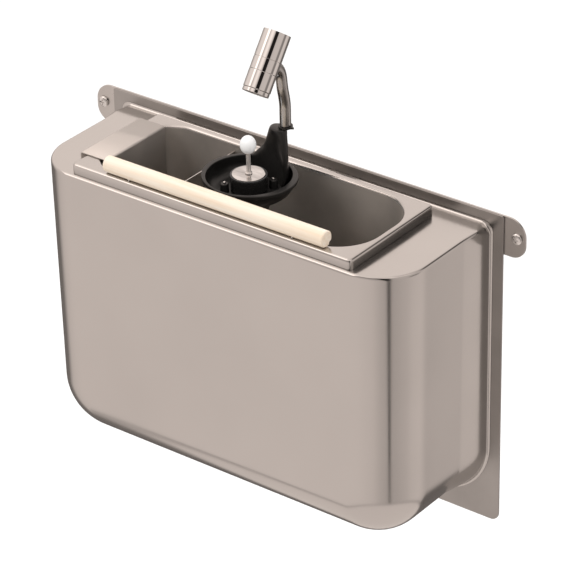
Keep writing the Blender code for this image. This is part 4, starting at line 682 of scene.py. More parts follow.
def soften(item, width, segments=3):
    bevel = item.modifiers.new("soft_edges", "BEVEL")
    bevel.width = width
    bevel.segments = segments
    bevel.limit_method = "ANGLE"
    bevel.angle_limit = SHARP_ANGLE
    bevel.harden_normals = True
    return item


def thicken(item, wall):
    solid = item.modifiers.new("wall", "SOLIDIFY")
    solid.thickness = wall
    solid.offset = -1
    solid.use_even_offset = True
    return item


def combine(item, shape, operation="DIFFERENCE"):
    """Cuts the closed shape from the item's mesh, or joins it, and keeps the result."""
    mesh = bpy.data.meshes.new("cutter")
    shape.to_mesh(mesh)
    shape.free()
    cutter = bpy.data.objects.new("cutter", mesh)
    bpy.context.scene.collection.objects.link(cutter)
    boolean = item.modifiers.new("cut", "BOOLEAN")
    boolean.operation = operation
    boolean.object = cutter
    boolean.solver = "EXACT"
    bpy.context.view_layer.update()
    graph = bpy.context.evaluated_depsgraph_get()
    made = bpy.data.meshes.new_from_object(item.evaluated_get(graph))
    item.modifiers.clear()
    item.data = made
    bpy.data.objects.remove(cutter, do_unlink=True)
    return item


def raw_item(name, shape):
    mesh = bpy.data.meshes.new(name)
    shape.to_mesh(mesh)
    shape.free()
    item = bpy.data.objects.new(name, mesh)
    bpy.context.scene.collection.objects.link(item)
    return item


def finish_item(item, finish, body, *nodes, slot=None, smooth_angle=SHARP_ANGLE):
    """Gives the item its finish and slot, and sets it on its body in place of its nodes."""
    item.data.materials.clear()
    item.data.materials.append(FINISHES[finish])
    item.data.shade_smooth()
    item.data.set_sharp_from_angle(angle=smooth_angle)
    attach(item, body)
    if nodes:
        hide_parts(*nodes)
    return item


def turned_item(name, profile, finish, body, nodes, matrix=None, closed=False, edge=0.0):
    shape = turned_shape(profile, closed)
    if matrix is not None:
        moved(shape, matrix)
    item = finish_item(raw_item(name, shape), finish, body, *nodes)
    return soften(item, edge) if edge else item


def prism(outline, low, high):
    """A closed upright prism over (x, y) points."""
    shape = bmesh.new()
    rings = [[Vector((x, y, z)) for x, y in outline] for z in (low, high)]
    extruded_rings(shape, rings, cap_first=True, cap_last=True)
    return shape


def drum(radius, low, high, centre, steps=TURN_STEPS // 2):
    return prism([p.xy for p in circle_ring(radius, radius, centre, 0, steps)], low, high)


# Wall mounting

TO_FRONT = Matrix.Rotation(math.pi / 2, 4, "X")
PAN_STEPS = 9
PAN_LOW, PAN_EDGE = 0.3, 0.25
SHANK_GAP = 0.0005


def sheet_item(outline, holes, back, front):
    """A flat upright sheet between two planes, from an outline in X and Z, with its holes."""
    shape = bmesh.new()
    rings = [[Vector((x, y, z)) for x, z in outline] for y in (back, front)]
    extruded_rings(shape, rings, cap_first=True, cap_last=True)
    item = raw_item("sheet", shape)
    for x, z, radius in holes:
        hole = drum(radius, -OVERRUN - back, OVERRUN - front, (0, 0))
        moved(hole, Matrix.Translation((x, 0, z)) @ TO_FRONT)
        combine(item, hole)
    return item


class MakeMounting(bpy.types.Operator):
    """Make the hanger strap, the wall plate and the two wall screws.

    Flat sheets with softened edges, and pan-head screws with a cross recess.
    """

    bl_idname = "dipper_well.mounting"
    bl_label = "Strap, plate and screws"

    def execute(self, context):
        sizes = context.scene.dipper_mounting
        screws = [span(f"wall_screw_{side}") for side in ("left", "right")]
        holes = [(centre.x, centre.z, sizes.hole_radius) for centre, _, _, _ in screws]
        for name, finish, top_radius, low_radius, cuts in (
            ("hanger_strap", "strap_steel", sizes.strap_top_radius, sizes.strap_low_radius, holes),
            ("wall_plate", "mill_steel", sizes.plate_top_radius, sizes.plate_low_radius, []),
        ):
            low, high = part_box(name)
            outline = upright_outline(high.x, high.z, low.z, top_radius, low_radius)
            item = sheet_item(outline, cuts, high.y, low.y)
            item.name = f"{name}_dress"
            finish_item(item, finish, "wall_unit", name)
            soften(item, sizes.edge, 2)
        for side, (centre, half, _, _) in zip(("left", "right"), screws):
            self.make_screw(sizes, side, centre, half)
        return {"FINISHED"}

    def make_screw(self, sizes, side, centre, half):
        low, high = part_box(f"wall_screw_{side}")
        seat = -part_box("hanger_strap")[0].y + GAP
        crown = -low.y
        head = crown - seat
        radius = half.x
        shank = sizes.hole_radius - SHANK_GAP
        profile = [(0, crown)]
        for turn in quarter(PAN_STEPS)[1:-1]:
            rise = head * (PAN_LOW + (1 - PAN_LOW) * math.cos(turn))
            profile.append((radius * math.sin(turn), seat + rise))
        profile += [(radius, seat + head * PAN_EDGE), (radius, seat), (shank, seat)]
        profile += [(shank, -high.y), (0, -high.y)]
        item = raw_item(f"wall_screw_{side}_dress", turned_shape(profile))
        arm = sizes.recess_length / 2
        wide = sizes.recess_width / 2
        for along, across in ((arm, wide), (wide, arm)):
            outline = [(along, across), (-along, across), (-along, -across), (along, -across)]
            combine(item, prism(outline, crown - sizes.recess_depth, crown + OVERRUN))
        item.data.transform(Matrix.Translation((centre.x, 0, centre.z)) @ TO_FRONT)
        finish_item(item, "chrome", "wall_unit", f"wall_screw_{side}")


# Housing

FLARE_POWER = 1.2
MITRE_LIMIT = 0.7
HOUSING_HOLES = (("waste_socket", 0.85), ("hose_grommet", 0.83))
TANK_HOLES = (("drain_body", 0.57), ("inlet_nipple", 0.63))


def drawn_in(distance, radius):
    """How far a round of this radius has drawn in at this distance from its end."""
    reach = max(0.0, radius - distance)
    return radius - math.sqrt(max(0.0, radius * radius - reach * reach))


def housing_ring(sizes, y, spread=0.0, inward=0.0, edge=None):
    """The housing's section at y before the plate; spread widens its flare."""
    ahead = sizes.reach - inward + y
    plan = drawn_in(ahead, sizes.plan_radius - inward)
    low = drawn_in(ahead, sizes.front_low_radius - inward)
    deck = RIM_Z - sizes.deck_drop
    floor = RIM_Z - sizes.bottom_drop
    half = sizes.width / 2 - plan + spread - inward
    flare = min(spread, sizes.flare_spread)
    rise = spread - flare + flare * sizes.top_share
    top = deck - drawn_in(ahead, sizes.deck_edge) + rise - inward
    bottom = floor + low - spread + inward
    low_radius = max(sizes.side_low_radius + spread - low - inward, sizes.deck_edge)
    top_radius = max((edge or sizes.deck_edge) - inward, sizes.deck_edge / 2)
    outline = upright_outline(half, top, bottom, top_radius, low_radius)
    firm = min(1.0, max(0.0, (-y - sizes.fillet) / sizes.flare_reach))
    ring = []
    for x, z in outline:
        down = max(0.0, deck - z) / (deck - floor) * firm
        narrow = 1 - sizes.draft / (sizes.width / 2) * down
        shallow = 1 - sizes.draft / sizes.reach * down
        ring.append(Vector((x * narrow, PLATE_FRONT + y * shallow, z)))
    return ring


def flare_stations(sizes):
    """The fillet and the flare as (y, spread, top corner radius), from the plate on."""
    stations = []
    steps = BEND_STEPS * 2
    for i in range(steps):
        turn = math.pi / 2 * (1 - (i + 1) / steps)
        y = -GAP - sizes.fillet * (1 - math.sin(turn))
        spread = sizes.flare_spread + sizes.fillet * (1 - math.cos(turn))
        stations.append((y, spread, sizes.fillet_edge))
    stations[0] = (-GAP, *stations[0][1:])
    for i in range(1, steps + 1):
        part = i / steps
        y = -GAP - sizes.fillet - sizes.flare_reach * part
        spread = sizes.flare_spread * (1 - part) ** FLARE_POWER
        sharp = max(0.0, 1 - sizes.flare_reach * part / sizes.corner_reach)
        edge = sizes.deck_edge + (sizes.fillet_edge - sizes.deck_edge) * sharp
        stations.append((y, spread, edge))
    return stations


def inner_stations(stations, wall):
    """The same stations set in by the wall, as (y, spread, inward, radius)."""
    normals = []
    for (y0, s0, _), (y1, s1, _) in zip(stations, stations[1:]):
        along = Vector((y1 - y0, s1 - s0)).normalized()
        normals.append(Vector((along.y, -along.x)))
    inner = []
    for i, (y, spread, edge) in enumerate(stations):
        before = normals[max(i - 1, 0)]
        after = normals[min(i, len(normals) - 1)]
        across = (before + after).normalized()
        step = across * wall / max(across.dot(before), MITRE_LIMIT)
        inner.append((min(y - step.x, -GAP), spread, max(step.y, wall / 3), edge))
    return inner


class MakeHousing(bpy.types.Operator):
    """Make the drawn housing with its deck, its flare and its fillet on the plate.

    Outer and inner sections as one closed skin, then the deck and floor holes.
    """

    bl_idname = "dipper_well.housing"
    bl_label = "Housing"

    def execute(self, context):
        sizes = context.scene.dipper_housing
        tank = context.scene.dipper_tank
        stations = flare_stations(sizes)
        outer = [housing_ring(sizes, y, spread, 0.0, edge) for y, spread, edge in stations]
        inner = [housing_ring(sizes, *station) for station in inner_stations(stations, sizes.wall)]
        for wall, rings in ((0.0, outer), (sizes.wall, inner)):
            radius = sizes.front_low_radius - wall
            for turn in quarter(FRONT_STEPS):
                ahead = radius * (1 - math.sin(turn))
                rings.append(housing_ring(sizes, ahead - sizes.reach + wall, inward=wall))
        shape = bmesh.new()
        extruded_rings(shape, inner[::-1] + outer, cap_first=True, cap_last=True)
        housing = raw_item("housing_dress", shape)
        deck = RIM_Z - sizes.deck_drop
        margin = sizes.deck_hole_margin
        hole = rounded_ring(
            TANK_HALF.x - tank.end_flange + margin,
            TANK_HALF.y - tank.side_flange + margin,
            tank.mouth_radius + margin,
            0,
            TANK_CENTRE.xy,
        )
        depth = sizes.deck_edge + OVERRUN
        combine(housing, prism([p.xy for p in hole], deck - depth, deck + OVERRUN))
        floor = RIM_Z - sizes.bottom_drop
        for node, fit in HOUSING_HOLES:
            centre, half, _, _ = span(node)
            radius = half.x * fit
            combine(housing, drum(radius, floor - depth, floor + depth, centre.xy))
        finish_item(housing, "upright_steel", "wall_unit", "housing_shell")
        return {"FINISHED"}


# Tank, baffle and bar

def tank_ring(half_x, half_y, radius, drop):
    return rounded_ring(half_x, half_y, radius, RIM_Z - drop, TANK_CENTRE.xy)


class MakeTank(bpy.types.Operator):
    """Make the lift-out tank and the sheet that caps its left end.

    The rim's folds and the tapered walls as one skin with a wall, then its holes.
    """

    bl_idname = "dipper_well.tank"
    bl_label = "Tank and baffle"

    def execute(self, context):
        sizes = context.scene.dipper_tank
        far_x, far_y = TANK_HALF.x, TANK_HALF.y
        near_x, near_y = far_x - sizes.end_flange, far_y - sizes.side_flange
        bend = sizes.bend
        rings = [tank_ring(far_x, far_y, sizes.outer_radius, sizes.foot)]
        for turn in quarter(BEND_STEPS):
            draw = bend * (1 - math.cos(turn))
            drop = bend * (1 - math.sin(turn))
            rings.append(
                tank_ring(far_x - draw, far_y - draw, sizes.outer_radius - draw, drop)
            )
        for turn in quarter(BEND_STEPS):
            out = bend * (1 - math.sin(turn))
            drop = bend * (1 - math.cos(turn))
            rings.append(
                tank_ring(near_x + out, near_y + out, sizes.mouth_radius + out, drop)
            )
        straight = sizes.depth - sizes.floor_radius
        for turn in quarter(BEND_STEPS):
            inset = sizes.taper * straight / sizes.depth
            inset += sizes.floor_radius * (1 - math.cos(turn))
            drop = straight + sizes.floor_radius * math.sin(turn)
            rings.append(
                tank_ring(near_x - inset, near_y - inset, sizes.mouth_radius - inset, drop)
            )
        shape = bmesh.new()
        extruded_rings(shape, rings, cap_last=True)
        if shape.faces[-1].normal.z < 0:
            bmesh.ops.reverse_faces(shape, faces=shape.faces)
        inside = shape.verts.layers.float.new("inside")
        # The foot mask marks painted shade on the skirt, growing towards its lower edge.
        foot = shape.verts.layers.float.new("foot")
        for corner in shape.verts:
            spot = corner.co - TANK_CENTRE
            within = abs(spot.x) < near_x + bend / 2 and abs(spot.y) < near_y + bend / 2
            corner[inside] = ramp(RIM_Z - corner.co.z, bend / 3, bend) if within else 0.0
            corner[foot] = 0.0 if within else ramp(RIM_Z - corner.co.z, bend, sizes.foot)
        tank = thicken(raw_item("tank_dress", shape), sizes.wall)
        floor = RIM_Z - sizes.depth
        for node, fit in TANK_HOLES:
            centre, half, _, _ = span(node)
            combine(tank, drum(half.x * fit, floor - OVERRUN, floor + OVERRUN, centre.xy))
        finish_item(tank, "tank_steel", "rinse_tank", "tank")
        self.make_baffle(sizes)
        return {"FINISHED"}

    def make_baffle(self, sizes):
        low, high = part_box("end_baffle")
        radius = sizes.baffle_bend
        left_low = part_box("tank")[1].z - sizes.foot + GAP
        corners = [
            Vector((low.x, 0, left_low)),
            Vector((low.x, 0, high.z)),
            Vector((high.x, 0, high.z)),
            Vector((high.x, 0, low.z)),
        ]
        path = [corners[0]]
        for before, corner, after in zip(corners, corners[1:], corners[2:]):
            into = (corner - before).normalized()
            away = (after - corner).normalized()
            centre = corner - into * radius + away * radius
            for turn in quarter(BEND_STEPS):
                path.append(
                    centre - away * radius * math.cos(turn) + into * radius * math.sin(turn)
                )
        path.append(corners[-1])
        shape = bmesh.new()
        points = [shape.verts.new((p.x, low.y, p.z)) for p in path]
        edges = [shape.edges.new(pair) for pair in zip(points, points[1:])]
        grown = bmesh.ops.extrude_edge_only(shape, edges=edges)["geom"]
        fresh = [v for v in grown if isinstance(v, bmesh.types.BMVert)]
        bmesh.ops.translate(shape, verts=fresh, vec=(0, high.y - low.y, 0))
        shape.normal_update()
        level = max(shape.faces, key=lambda face: face.calc_area())
        upward = level.normal.z if abs(level.normal.z) > 0.5 else level.normal.x
        if upward < 0:
            bmesh.ops.reverse_faces(shape, faces=shape.faces)
        baffle = thicken(raw_item("end_baffle_dress", shape), sizes.baffle_wall)
        finish_item(baffle, "baffle_steel", "baffle", "end_baffle")


NICK_OUT, NICK_ROUND = 0.3, 0.75
PILOT_SHARE = 0.71


class MakeBar(bpy.types.Operator):
    """Make the wooden knock bar with its cut ends.

    A turned bar with broken edges, a chip at its right end and two pilot holes.
    """

    bl_idname = "dipper_well.bar"
    bl_label = "Knock bar"

    def execute(self, context):
        sizes = context.scene.dipper_tank
        low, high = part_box("knock_bar")
        centre = (low + high) / 2
        low.x += sizes.bar_cut
        radius = (high.z - low.z) / 2
        chamfer = sizes.bar_chamfer
        profile = [
            (0, high.x),
            (radius - chamfer, high.x),
            (radius, high.x - chamfer),
            (radius, low.x + chamfer),
            (radius - chamfer, low.x),
            (0, low.x),
        ]
        shape = turned_shape(profile)
        turn = Matrix.Rotation(math.pi / 2, 4, "Y")
        moved(shape, Matrix.Translation((0, centre.y, centre.z)) @ turn)
        bar = raw_item("knock_bar_dress", shape)
        nick = bmesh.new()
        bmesh.ops.create_icosphere(nick, subdivisions=3, radius=sizes.bar_nick)
        aside = radius * NICK_ROUND
        end = high.x + sizes.bar_nick * NICK_OUT
        moved(nick, Matrix.Translation((end, centre.y + aside, centre.z - aside)))
        combine(bar, nick)
        for side in ("left", "right"):
            spot, half, top, _ = span(f"bar_screw_{side}")
            pilot = half.x * PILOT_SHARE
            hole = drum(pilot, low.z - OVERRUN, top + GAP, spot.xy, TURN_STEPS // 4)
            combine(bar, hole)
        finish_item(bar, "beech", "rinse_tank", "knock_bar")
        soften(bar, GAP, 2)
        return {"FINISHED"}


# Bowl

FUNNEL_SHARES = (
    (1.05, 0.0045),
    (1.035, 0.0005),
    (0.985, -0.0038),
    (0.89, -0.0070),
    (0.77, -0.0092),
    (0.63, -0.0125),
    (0.51, -0.0185),
    (0.44, -0.0260),
)
PILLAR_STATIONS = (
    (-0.16, 122, 38, 0.70, 0.80),
    (0.03, 123, 37, 0.71, 0.99),
    (0.21, 122, 37, 0.71, 1.0),
    (0.28, 118, 37.5, 0.705, 0.995),
    (0.36, 112, 38, 0.70, 0.99),
    (0.46, 104, 39, 0.69, 0.99),
    (0.56, 99, 40, 0.675, 0.99),
    (0.68, 95, 41.5, 0.66, 0.985),
    (0.80, 91, 43, 0.645, 0.98),
    (0.90, 87, 44.5, 0.63, 0.975),
    (0.975, 82, 46.5, 0.62, 0.97),
    (1.0, 77, 49, 0.655, 0.94),
)
PILLAR_POINTS = 48
PILLAR_FILL = 4
POST_STEPS = 41
SCREW_STEPS = 5
BOWL_SCREW_CROWN = 0.6
LIP_DROP = 1.2


def eased(table, fill):
    """Rows of the table with smooth rows put between them."""
    rows = []
    for i in range(len(table) - 1):
        a = table[max(i - 1, 0)]
        b, c = table[i], table[i + 1]
        d = table[min(i + 2, len(table) - 1)]
        for k in range(fill):
            t = k / fill
            rows.append(
                [
                    0.5
                    * (
                        2 * q
                        + (r - p) * t
                        + (2 * p - 5 * q + 4 * r - s) * t * t
                        + (3 * q - p - 3 * r + s) * t * t * t
                    )
                    for p, q, r, s in zip(a, b, c, d)
                ]
            )
    rows.append(list(table[-1]))
    return rows


def pillar_shape(sizes):
    centre = Vector((sizes.pillar_x, TANK_CENTRE.y + sizes.pillar_shift, 0))
    rings = []
    for height, left, right, inner, outer in eased(PILLAR_STATIONS, PILLAR_FILL):
        ring = []
        for turn in whole_turn(PILLAR_POINTS):
            middle = math.radians(left + right) / 2
            bearing = middle - math.radians(left - right) / 2 * math.cos(turn)
            reach = (inner + outer) / 2 - (outer - inner) / 2 * math.sin(turn)
            spot = Vector((math.cos(bearing), math.sin(bearing), 0)) * reach * sizes.pillar_radius
            spot.z = RIM_Z + height * sizes.pillar_height
            ring.append(centre + spot)
        rings.append(ring)
    shape = bmesh.new()
    extruded_rings(shape, rings, cap_first=True, cap_last=True)
    return shape


class MakeBowl(bpy.types.Operator):
    """Make the rinse bowl with its lip, dish, funnel, spout pillar and posts.

    Lip, dish and funnel as one skin of rings, joined with the pillar and the posts.
    """

    bl_idname = "dipper_well.bowl"
    bl_label = "Rinse bowl"

    def execute(self, context):
        sizes = context.scene.dipper_bowl
        lip = (sizes.lip_x, TANK_CENTRE.y + sizes.lip_shift)
        dish = (sizes.dish_x, TANK_CENTRE.y + sizes.dish_shift)
        valve = VALVE_CENTRE.xy
        long, wide = sizes.length / 2, sizes.width / 2
        top = RIM_Z + sizes.lip_height
        floor = RIM_Z - sizes.dish_depth
        fillet, soft = sizes.dish_fillet, sizes.lip_round
        radius = sizes.dish_radius
        low = radius - fillet
        funnel_end = RIM_Z - sizes.funnel_end
        rings = [circle_ring(sizes.bore_radius, sizes.bore_radius, valve, floor)]
        for turn in quarter(BEND_STEPS):
            out = low + (fillet - soft / 2) * math.sin(turn)
            rings.append(circle_ring(out, out, dish, floor + fillet * (1 - math.cos(turn))))
        for turn in quarter(BEND_STEPS):
            out = radius + soft * (1 - math.cos(turn))
            rings.append(circle_ring(out, out, dish, top - soft * (1 - math.sin(turn))))
        for turn in quarter(BEND_STEPS):
            back = soft * (1 - math.sin(turn))
            drop = soft * (LIP_DROP - math.cos(turn))
            rings.append(circle_ring(long - back, wide - back, lip, top - drop))
        under = top - sizes.lip_wall
        rings.append(circle_ring(long, wide, lip, under))
        rings.append(circle_ring(long - soft * 2, wide - soft * 2, lip, under - soft))
        for part, height in eased(FUNNEL_SHARES, PILLAR_FILL):
            out = part * radius
            rings.append(circle_ring(out, out, dish, RIM_Z + height))
        rings.append(circle_ring(sizes.column_radius, sizes.column_radius, valve, funnel_end))
        rings.append(circle_ring(sizes.bore_radius, sizes.bore_radius, valve, funnel_end))
        shape = bmesh.new()
        extruded_rings(shape, rings, cyclic=True)
        bowl = raw_item("bowl_dress", shape)
        combine(bowl, pillar_shape(sizes), "UNION")
        self.add_posts(sizes, bowl, floor)
        seat = RIM_Z + sizes.pillar_height
        foot = seat - sizes.spigot_depth
        spot = SPOUT_CENTRE.xy
        combine(bowl, drum(sizes.spigot_hole, foot, seat + OVERRUN, spot, TURN_STEPS // 4))
        finish_item(bowl, "black_plastic", "rinse_tank", "bowl_insert")
        return {"FINISHED"}

    def add_posts(self, sizes, bowl, floor):
        for side in ("front", "rear"):
            spot, half, crown, screw_low = span(f"bowl_screw_{side}")
            foot = floor - sizes.lip_round * 2
            top = RIM_Z + sizes.post_height
            soft = sizes.lip_round / 2
            post = turned_shape(
                [
                    (0, top),
                    (sizes.post_top_radius - soft, top),
                    (sizes.post_top_radius, top - soft),
                    (sizes.post_radius, foot),
                    (0, foot),
                ],
                steps=POST_STEPS,
            )
            moved(post, Matrix.Translation((spot.x, spot.y, 0)))
            combine(bowl, post, "UNION")
            hole = drum(half.x + GAP, screw_low - GAP, top + OVERRUN, spot.xy, TURN_STEPS // 4)
            combine(bowl, hole)
            radius = half.x
            profile = [(0, crown)]
            for turn in quarter(SCREW_STEPS)[1:]:
                drop = radius * BOWL_SCREW_CROWN * (1 - math.cos(turn))
                profile.append((radius * math.sin(turn), crown - drop))
            profile += [(radius, screw_low), (0, screw_low)]
            turned_item(
                f"bowl_screw_{side}_dress",
                profile,
                "chrome",
                "rinse_tank",
                [f"bowl_screw_{side}"],
                Matrix.Translation((spot.x, spot.y, 0)),
            )


# Valve

def profile_of(node, shares):
    """Turns (radius share, height share) points into the node's own radius and heights."""
    _, half, top, bottom = span(node)
    return [(r * half.x, bottom + (top - bottom) * z) for r, z in shares]


def upright_place(node):
    centre = span(node)[0]
    return Matrix.Translation((centre.x, centre.y, 0))


VALVE_PIECES = (
    (
        "valve_housing",
        "smooth_black",
        "rinse_tank",
        (
            (1.0, 1.0), (1.0, 0.7329), (0.6286, 0.7329), (0.6286, 0.0), (0.2743, 0.0),
            (0.2743, 0.2662), (0.1486, 0.2662), (0.1486, 0.3422), (0.4571, 0.3422),
            (0.4571, 0.7985), (0.9429, 0.7985), (0.9429, 1.0),
        ),
        0.0004,
    ),
    (
        "valve_ring",
        "grey_plastic",
        "rinse_tank",
        ((1.0, 1.0), (1.0, 0.0), (0.9213, 0.0), (0.9213, 1.0)),
        0.0002,
    ),
    (
        "push_disc",
        # Chrome whose darker clouds are painted reflections.
        "wavy_chrome",
        "push_rod",
        ((1.0, 1.0), (1.0, 0.0), (0.1451, 0.0), (0.1451, 1.0)),
        0.0003,
    ),
    (
        "valve_plunger",
        "white_plastic",
        "push_rod",
        ((0.6579, 1.0), (0.6579, 0.1408), (1.0, 0.1408), (1.0, 0.0), (0.3026, 0.0), (0.3026, 1.0)),
        0.0002,
    ),
)


STEM_STEPS = 12
SPRING_STEPS = 24
WIRE_STEPS = 10


class MakeValve(bpy.types.Operator):
    """Make the valve's housing, ring, disc, stem and knob.

    Turned pieces on the valve's axis; the stem flares into a small hub on the disc.
    """

    bl_idname = "dipper_well.valve"
    bl_label = "Push valve"

    def execute(self, context):
        sizes = context.scene.dipper_valve
        for node, finish, body, shares, edge in VALVE_PIECES:
            turned_item(
                f"{node}_dress",
                profile_of(node, shares),
                finish,
                body,
                [node],
                upright_place(node),
                closed=True,
                edge=edge,
            )
        self.make_stem(sizes)
        self.make_knob(sizes)
        self.make_spring(sizes)
        return {"FINISHED"}

    def make_stem(self, sizes):
        _, half, top, bottom = span("push_stem")
        disc_top = span("push_disc")[2]
        hub = half.x
        radius = sizes.stem_radius
        foot = disc_top + GAP
        profile = [(0, top), (radius, top)]
        for turn in quarter(STEM_STEPS):
            across = hub - (hub - radius) * math.cos(turn)
            rise = sizes.hub_rise * (1 - math.sin(turn)) + sizes.hub_foot
            profile.append((across, foot + rise))
        profile += [(hub, foot), (radius, foot), (radius, bottom), (0, bottom)]
        turned_item(
            "push_stem_dress",
            profile,
            "rod_steel",
            "push_rod",
            ["push_stem"],
            upright_place("push_stem"),
        )

    def make_spring(self, sizes):
        """The return spring, a coil of wire from its seat to its top."""
        centre, half, top, bottom = span("valve_spring")
        wire = sizes.spring_wire
        coil = half.x - wire
        count = sizes.spring_turns * SPRING_STEPS
        rings = []
        for i in range(count + 1):
            turn = math.tau * i / SPRING_STEPS
            out = Vector((math.cos(turn), math.sin(turn), 0))
            middle = Vector((centre.x, centre.y, bottom + wire)) + out * coil
            middle.z += (top - bottom - 2 * wire) * i / count
            rings.append(
                [
                    middle + out * wire * math.cos(a) + Vector((0, 0, wire * math.sin(a)))
                    for a in whole_turn(WIRE_STEPS)
                ]
            )
        shape = bmesh.new()
        extruded_rings(shape, rings, cap_first=True, cap_last=True)
        spring = raw_item("valve_spring_dress", shape)
        finish_item(spring, "spring_steel", "rinse_tank", "valve_spring")
        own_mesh(spring)

    def make_knob(self, sizes):
        _, half, top, _ = span("ball_knob")
        bore = sizes.knob_bore
        radius = half.x
        tall = sizes.knob_rise
        centre = top - tall
        profile = []
        steps = TURN_STEPS // 3
        lowest = math.acos(bore / radius)
        for i in range(steps + 1):
            turn = math.pi / 2 - (math.pi / 2 + lowest) * i / steps
            profile.append((radius * math.cos(turn), centre + tall * math.sin(turn)))
        ceiling = centre - tall + sizes.knob_depth
        profile += [(bore, ceiling), (0, ceiling)]
        turned_item(
            "ball_knob_dress",
            profile,
            "white_plastic",
            "push_rod",
            ["ball_knob"],
            upright_place("ball_knob"),
        )


# Spout and spray head

PILLAR_TOP = 0.050
PIPE_STEPS = 48
ROUTE_STEPS = 16
ROUTE_PULL = 0.45
COLLAR_HEIGHT = 0.0019
SPIGOT_RADIUS, SPIGOT_BORE = 0.0015, 0.0008
EAR_REACH, EAR_TIP, EAR_ROOT, EAR_INSET = 0.0026, 0.0004, 0.0028, 0.0002
EAR_ROOT_SHARE = 0.8
TURNED_EDGE = 0.0004
GROOVE_FLOOR = 0.4
BALL_STEPS = 24
SPRAY_CIRCLES = ((0.0, 1), (0.0028, 6), (0.0056, 12))
SPRAY_HOLE, SPRAY_STEPS = 0.0008, 12
INSERT_THICK = 0.002


def head_frame(sizes):
    """Down the head's axis, outwards to the pipe, its top point and its pivot."""
    down = Vector((0, -math.sin(sizes.head_tilt), -math.cos(sizes.head_tilt)))
    outward = Vector((0, math.cos(sizes.head_tilt), -math.sin(sizes.head_tilt)))
    back, height = PLATE_FRONT - sizes.head_top_back, RIM_Z + sizes.head_top_height
    top = Vector((SPOUT_CENTRE.x, back, height))
    pivot = top + down * sizes.pivot_down + outward * sizes.pivot_back
    return down, outward, top, pivot


def pipe_route(sizes):
    """The pipe's centre line from the collar to the head's ball."""
    _, outward, _, pivot = head_frame(sizes)
    foot = Vector((SPOUT_CENTRE.x, SPOUT_CENTRE.y, 0))
    base = RIM_Z + PILLAR_TOP + GAP
    start = foot + Vector((0, 0, COLLAR_TOP + GAP))
    straight = foot + Vector((0, 0, base + sizes.straight))
    lean = foot + Vector((0, -sizes.lean, base + sizes.lean_rise))
    end = pivot + outward * (sizes.head_radius - sizes.pivot_back + sizes.pipe_head_gap)
    handle_in = lean + (lean - straight) * ROUTE_PULL
    handle_out = end + outward * sizes.bend_length
    route = [start, start.lerp(straight, 0.5), straight]
    rise = (lean - straight).length
    for i in range(1, ROUTE_STEPS):
        t = i / ROUTE_STEPS
        upright = straight + Vector((0, 0, rise * t))
        route.append(upright.lerp(straight.lerp(lean, t), t * (2 - t)))
    route.append(lean)
    for i in range(1, ROUTE_STEPS * 3 + 1):
        t = i / (ROUTE_STEPS * 3)
        a, b, c = lean.lerp(handle_in, t), handle_in.lerp(handle_out, t), handle_out.lerp(end, t)
        route.append(a.lerp(b, t).lerp(b.lerp(c, t), t))
    return route


def pipe_ring(route, i, radius):
    ahead = route[min(i + 1, len(route) - 1)] - route[max(i - 1, 0)]
    across = Vector((1, 0, 0))
    other = across.cross(ahead.normalized())
    return [
        route[i] + across * radius * math.cos(a) + other * radius * math.sin(a)
        for a in whole_turn(PIPE_STEPS)
    ]


class MakeSpout(bpy.types.Operator):
    """Make the collar and the swivelling pipe.

    The pipe is swept along its route, outer wall up and bore down.
    """

    bl_idname = "dipper_well.spout"
    bl_label = "Swivel pipe"

    def execute(self, context):
        sizes = context.scene.dipper_spout
        route = pipe_route(sizes)
        order = range(len(route))
        rings = [pipe_ring(route, i, sizes.pipe_radius) for i in order]
        rings += [pipe_ring(route, i, sizes.pipe_bore) for i in reversed(order)]
        shape = bmesh.new()
        extruded_rings(shape, rings, cyclic=True)
        pipe = raw_item("swivel_pipe_dress", shape)
        finish_item(pipe, "satin_chrome", "spout", "swivel_pipe")
        soften(pipe, GAP, 2)
        _, half, top, bottom = span("pipe_collar")
        foot = top - COLLAR_HEIGHT
        radius = half.x
        spigot, bore = SPIGOT_RADIUS, SPIGOT_BORE
        profile = [
            (radius, top), (radius, foot), (spigot, foot),
            (spigot, bottom), (bore, bottom), (bore, top),
        ]
        collar = raw_item("pipe_collar_dress", turned_shape(profile, closed=True))
        tip, root = radius + EAR_REACH, radius * EAR_ROOT_SHARE
        outline = [(tip, EAR_TIP), (root, EAR_ROOT), (root, -EAR_ROOT), (tip, -EAR_TIP)]
        combine(collar, prism(outline, foot + EAR_INSET, top - EAR_INSET), "UNION")
        collar.data.transform(upright_place("pipe_collar"))
        finish_item(collar, "smooth_black", "spout", "pipe_collar")
        soften(collar, GAP, 2)
        return {"FINISHED"}


